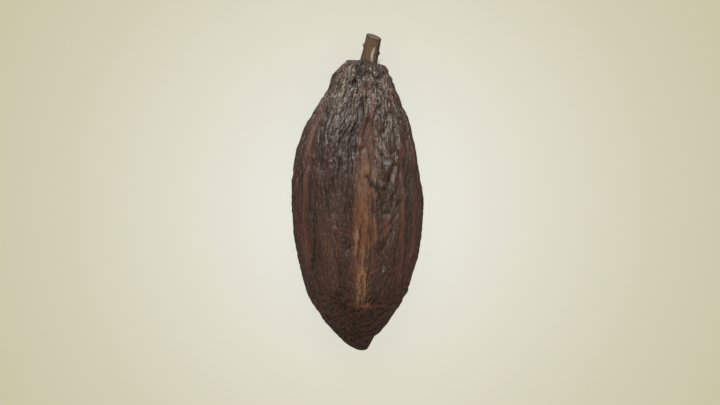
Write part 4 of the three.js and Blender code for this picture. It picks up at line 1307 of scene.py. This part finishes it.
# %% [markdown]
# ## The smallest wrinkles
# Wrinkles under a millimetre wide would need millions of faces, so these few are left to a bump. They
# are long on the upper half and short puckers below, and the net, the cracks, the granules and a fine
# grit join them. Real grit is finer still; it is drawn as coarse as it needs to show.

# %% Husk: bump
WRINKLET = (0.85, 8.5)  # mm wide and long
PUCKER = (0.9, 3.2)  # mm
GRIT = 0.45  # mm
WRINKLET_BELOW, WRINKLET_ABOVE = 0.7, 0.18  # depths, in shares of the bump's distance
NET_BELOW, NET_ABOVE = 0.02, 0.28
GRIT_DEPTH, GRIT_IN_CRUST = 0.10, 0.5
GRANULE_DEPTH, CRACK_DEPTH = 0.9, 0.18
LEFT_ON_BANDS = 0.55  # share of the wrinklets and the net that the smooth bands keep
BUMP_DISTANCE = 1.3  # mm
SOFT_NOISE = {"Scale": 1.0, "Detail": 0.7, "Roughness": 0.45}

wrinklet_place = add_node(tree, "Mapping", {"Vector": place, "Scale": pattern_scale(*WRINKLET)})
wrinklets = add_node(tree, "TexNoise", {"Vector": wrinklet_place, **SOFT_NOISE, "Distortion": 0.35})
pucker_place = add_node(tree, "Mapping", {"Vector": place, "Scale": pattern_scale(*PUCKER)})
puckers = add_node(tree, "TexNoise", {"Vector": pucker_place, **SOFT_NOISE})
both = {"Factor": upper_measure, "A": puckers, "B": wrinklets}
wrinklets = add_node(tree, "Mix", both, "Result", data_type="FLOAT")
calm_measure = add_node(tree, "Attribute", {}, "Fac", attribute_name="calm")
calm_share = add_node(tree, "MapRange", {"Value": calm_measure, "To Min": LEFT_ON_BANDS})
depths = {"Value": upper_measure, "To Min": WRINKLET_BELOW, "To Max": WRINKLET_ABOVE}
wrinklet_depth = add_node(tree, "MapRange", depths)
wrinklet_depth = add_node(tree, "Math", {0: wrinklet_depth, 1: calm_share}, operation="MULTIPLY")
net_depth = add_node(tree, "MapRange", {"Value": upper_measure, "To Min": NET_BELOW, "To Max": NET_ABOVE})
net_depth = add_node(tree, "Math", {0: net_depth, 1: calm_share}, operation="MULTIPLY")
grit = add_node(tree, "TexNoise", {"Vector": place, "Scale": 1 / (GRIT * MM), "Detail": 2.0})
grit_depth = {0: crust_measure, 1: GRIT_IN_CRUST, 2: GRIT_DEPTH}
grit_depth = add_node(tree, "Math", grit_depth, operation="MULTIPLY_ADD")
granule = add_node(tree, "Math", {0: granule_distance, 1: crust_measure}, operation="MULTIPLY")
relief = add_node(tree, "Math", {0: wrinklets, 1: wrinklet_depth}, operation="MULTIPLY")
for pattern, depth in (
    (grit, grit_depth),
    (granule, -GRANULE_DEPTH),
    (crack, -CRACK_DEPTH),
    (net_back, net_depth),
):
    relief = add_node(tree, "Math", {0: pattern, 1: depth, 2: relief}, operation="MULTIPLY_ADD")
bump = add_node(tree, "Bump", {"Height": relief, "Strength": 1.0, "Distance": BUMP_DISTANCE * MM}, "Normal")
print("wrinklets round the pod:", round(2 * np.pi * TEXTURE_RADIUS / WRINKLET[0]))

# %% [markdown]
# ## Gloss
# Wax fills the pores of the backs and makes them shine like old varnish. It wore off on the bands and
# never covered the creases, so both are duller. The grit makes the gloss uneven on the smallest scale.

# %% Husk: gloss and shader
GLOSS_GRIT, GLOSS_RANGE = (0.35, 0.65), (0.26, 0.44)  # levels of the grit, and the roughness they give
HOLLOW_ROUGHER, MATT_ROUGHER = 0.25, 0.2
WAX_IOR = 1.45  # typical of plant wax

hollow_measure = add_node(tree, "Attribute", {}, "Fac", attribute_name="hollow")
matt_measure = add_node(tree, "Attribute", {}, "Fac", attribute_name="matt")
gloss = {
    "Value": grit,
    "From Min": GLOSS_GRIT[0],
    "From Max": GLOSS_GRIT[1],
    "To Min": GLOSS_RANGE[0],
    "To Max": GLOSS_RANGE[1],
}
gloss = add_node(tree, "MapRange", gloss)
for measure, rougher in ((hollow_measure, HOLLOW_ROUGHER), (matt_measure, MATT_ROUGHER)):
    gloss = add_node(tree, "Math", {0: measure, 1: rougher, 2: gloss}, operation="MULTIPLY_ADD")
skin_finish = {"Base Color": skin_colour, "Roughness": gloss, "IOR": WAX_IOR, "Normal": bump}
add_node(tree, "OutputMaterial", {"Surface": add_node(tree, "BsdfPrincipled", skin_finish)})
husk.data.materials.append(husk_material)
print("husk nodes:", len(tree.nodes))

# %% [markdown]
# ## Stalk wood and bark
# Bark is rough and matt, grey-brown with a rosy patch, and a smear of pale crust runs up from its foot.
# The sawn face is bare wood: paler, mottled where the saw tore it, with a darker rim under the bark.

# %% Stalk material
STALK_COATS = [
    ("6b5840", 1.0, (0.6, 5), (0.36, 0.60), None),  # grey-brown streaks of bark
    ("6e4a36", 0.6, (1.2, 3), (0.30, 0.55), "rosy"),  # the rosy patch
    ("2c2519", 0.85, None, None, "shaded"),  # painted shade on one side
    ("c9c0ae", 1.0, (0.5, 0.6), (0.30, 0.48), "pale"),  # the smear of crust
    ("86735a", 1.0, None, None, "on_cut"),  # bare wood
    ("6a5843", 0.8, (0.5, 0.6), (0.4, 0.6), "on_cut"),  # torn fibres
    ("3a2d20", 0.85, None, None, "rim"),  # the edge of the bark
]
BARK_DARK = "453627"  # the bark under all the coats
BARK_GRAIN = (0.625, 5)  # mm wide and long
BARK_BUMP, BARK_BUMP_STRENGTH = 0.25, 0.7  # mm
BARK_ROUGHNESS, BARK_IOR = 0.82, 1.45

stalk_material = start_material("stalk_bark_and_sawn_wood")
tree = stalk_material.node_tree
place = add_node(tree, "TexCoord", {}, "Object")
wood = lay_coats(tree, place, linear(BARK_DARK), STALK_COATS)
bark_place = add_node(tree, "Mapping", {"Vector": place, "Scale": pattern_scale(*BARK_GRAIN)})
bark_grain = add_node(tree, "TexNoise", {"Vector": bark_place, "Scale": 1.0, "Detail": 4.0})
ridges = {"Height": bark_grain, "Strength": BARK_BUMP_STRENGTH, "Distance": BARK_BUMP * MM}
bark_bump = add_node(tree, "Bump", ridges, "Normal")
bark_finish = {"Base Color": wood, "Roughness": BARK_ROUGHNESS, "IOR": BARK_IOR, "Normal": bark_bump}
add_node(tree, "OutputMaterial", {"Surface": add_node(tree, "BsdfPrincipled", bark_finish)})
stalk.data.materials.append(stalk_material)
print("stalk nodes:", len(tree.nodes))

# %% [markdown]
# ## Lint fibre
# Plant lint is nearly white cellulose: matt, with no grain that could be seen at this size but a
# slight unevenness of colour along the fibre.

# %% Lint material
LINT_DARK = "b3a894"
LINT_COATS = [("d6cebf", 1.0, (0.6, 0.6), (0.4, 0.6), None)]  # bleached stretches of the fibre
LINT_ROUGHNESS, CELLULOSE_IOR = 0.9, 1.53

lint_material = start_material("plant_lint")
tree = lint_material.node_tree
place = add_node(tree, "TexCoord", {}, "Object")
lint_colour = lay_coats(tree, place, linear(LINT_DARK), LINT_COATS)
lint_finish = {"Base Color": lint_colour, "Roughness": LINT_ROUGHNESS, "IOR": CELLULOSE_IOR}
add_node(tree, "OutputMaterial", {"Surface": add_node(tree, "BsdfPrincipled", lint_finish)})
for thread in lint:
    thread.data.materials.append(lint_material)
print("lint nodes:", len(tree.nodes))

# %% [markdown]
# ## The floor
# The floor is a plain pale paper sheet. Its colour is a painted pool of light: brightest round the pod,
# where it lifts the shadow, and darker and warmer towards the edges. Part of its light comes from the
# sheet itself, like a lit table, so that the shadow on it stays faint.

# %% Floor
FLOOR_STOPS = [
    (0, "f6f5ea"),
    (46, "f1f0e4"),
    (66, "ecebdf"),
    (88, "e9e6d8"),
    (114, "e5e2cf"),
    (189, "d8d4bb"),
    (250, "d0ccae"),
]  # mm from the middle, colour: a painted pool of light, brightest round the pod
FLOOR_REACH = 320  # mm, the end of the colour ramp
FLOOR_HALF = 2  # m
FLOOR_DROP = 0.02  # mm, so that the sheet and the flat spot never share a plane
LIT_SHARE, LIT_LEVEL = 0.85, 0.94  # how much of the sheet's light is its own, and how strong it is

h = FLOOR_HALF
floor_mesh = bpy.data.meshes.new("floor")
floor_mesh.from_pydata([(-h, -h, 0), (h, -h, 0), (h, h, 0), (-h, h, 0)], [], [(0, 1, 2, 3)])
floor = bpy.data.objects.new("floor", floor_mesh)
scene.collection.objects.link(floor)
floor.location = (camera.location.x, camera.location.y, -FLOOR_DROP * MM)
floor.visible_glossy = False
print("floor in mm:", [round(v / MM) for v in floor.dimensions])

# %% [markdown]
# ## The paper of the floor
# Smooth matt paper has no gloss at all, so its specular level is 0 and its roughness 1. Its colour
# depends on the distance from the middle alone, as a painted pool of light: a ramp gives it through a
# few measured stops.

# %% Floor material
floor_material = start_material("pale_paper_floor")
tree = floor_material.node_tree
place = add_node(tree, "TexCoord", {}, "Object")
from_middle = add_node(tree, "VectorMath", {0: place}, "Value", operation="LENGTH")
share = add_node(tree, "Math", {0: from_middle, 1: 1 / (FLOOR_REACH * MM)}, operation="MULTIPLY")
floor_colour = add_node(tree, "ValToRGB", {"Fac": share}, "Color")
ramp = floor_colour.node.color_ramp
while len(ramp.elements) < len(FLOOR_STOPS):
    ramp.elements.new(1.0)
for element, (at, colour) in zip(ramp.elements, FLOOR_STOPS):
    element.position = at / FLOOR_REACH
    element.color = linear(colour)
unlit = {"Factor": LIT_SHARE, "A": floor_colour, "B": (0, 0, 0, 1)}
paper_finish = {
    "Base Color": add_node(tree, "Mix", unlit, "Result", data_type="RGBA"),
    "Emission Color": floor_colour,
    "Emission Strength": LIT_SHARE * LIT_LEVEL,
    "Roughness": 1.0,
    "Specular IOR Level": 0.0,
}
add_node(tree, "OutputMaterial", {"Surface": add_node(tree, "BsdfPrincipled", paper_finish)})
floor.data.materials.append(floor_material)
print("stops of the floor's colour:", len(ramp.elements))

# %% [markdown]
# ## Light
# A studio lights such a subject softly. A large lamp behind the head of the picture rakes down the
# skin. Three warm panels low behind the stalk give the wrinkles their long glints and do nothing else,
# so the glints can be set alone. A broad weak lamp from the front fills the shadows and leaves no glint.

# %% Lamps
MIDDLE_OF_POD = Vector((AXIS_X, BEAK_END + AIM_STATION, AXIS_HEIGHT)) * MM
KEY_FROM, KEY_SIZE, KEY_WATTS = (-0.3, 1.5, 1.9), (1.1, 1.1), 12  # m from the pod, m, W
PANELS = {"left": -1, "middle": 0, "right": 1}
PANEL_SPACING, PANEL_BACK, PANEL_HIGH = 1.35, 2.0, 1.02  # m
PANEL_SIZE, PANEL_WATTS = (0.7, 0.6), 43
PANEL_WARMTH = (1.0, 0.96, 0.91)  # linear light
FILL_FROM, FILL_SIZE, FILL_WATTS = (0.1, -0.1, 2.6), (2.6, 2.6), 52
WORLD_WARMTH, WORLD_STRENGTH = (1.0, 0.93, 0.83, 1), 0.25  # the light that the room sends back


def soft_lamp(name, offset, size, power):
    """An area lamp of a width and a height in m, this far from the pod and turned to it."""
    data = bpy.data.lights.new(name, "AREA")
    data.shape = "RECTANGLE"
    data.size, data.size_y = size
    data.energy = power
    lamp = bpy.data.objects.new(name, data)
    lamp.location = MIDDLE_OF_POD + Vector(offset)
    lamp.rotation_euler = (MIDDLE_OF_POD - lamp.location).to_track_quat("-Z", "Y").to_euler()
    scene.collection.objects.link(lamp)
    return lamp


soft_lamp("key_lamp", KEY_FROM, KEY_SIZE, KEY_WATTS)
for name, side in PANELS.items():
    offset = (PANEL_SPACING * side, PANEL_BACK, PANEL_HIGH)
    panel = soft_lamp(f"head_panel_{name}", offset, PANEL_SIZE, PANEL_WATTS)
    panel.data.color = PANEL_WARMTH
    panel.visible_diffuse = False
front_lamp = soft_lamp("front_lamp", FILL_FROM, FILL_SIZE, FILL_WATTS)
front_lamp.visible_glossy = False
world = bpy.data.worlds.new("studio")
scene.world = world
world.use_nodes = True
background = world.node_tree.nodes["Background"]
background.inputs["Color"].default_value = WORLD_WARMTH
background.inputs["Strength"].default_value = WORLD_STRENGTH
scene.view_settings.view_transform = "Standard"
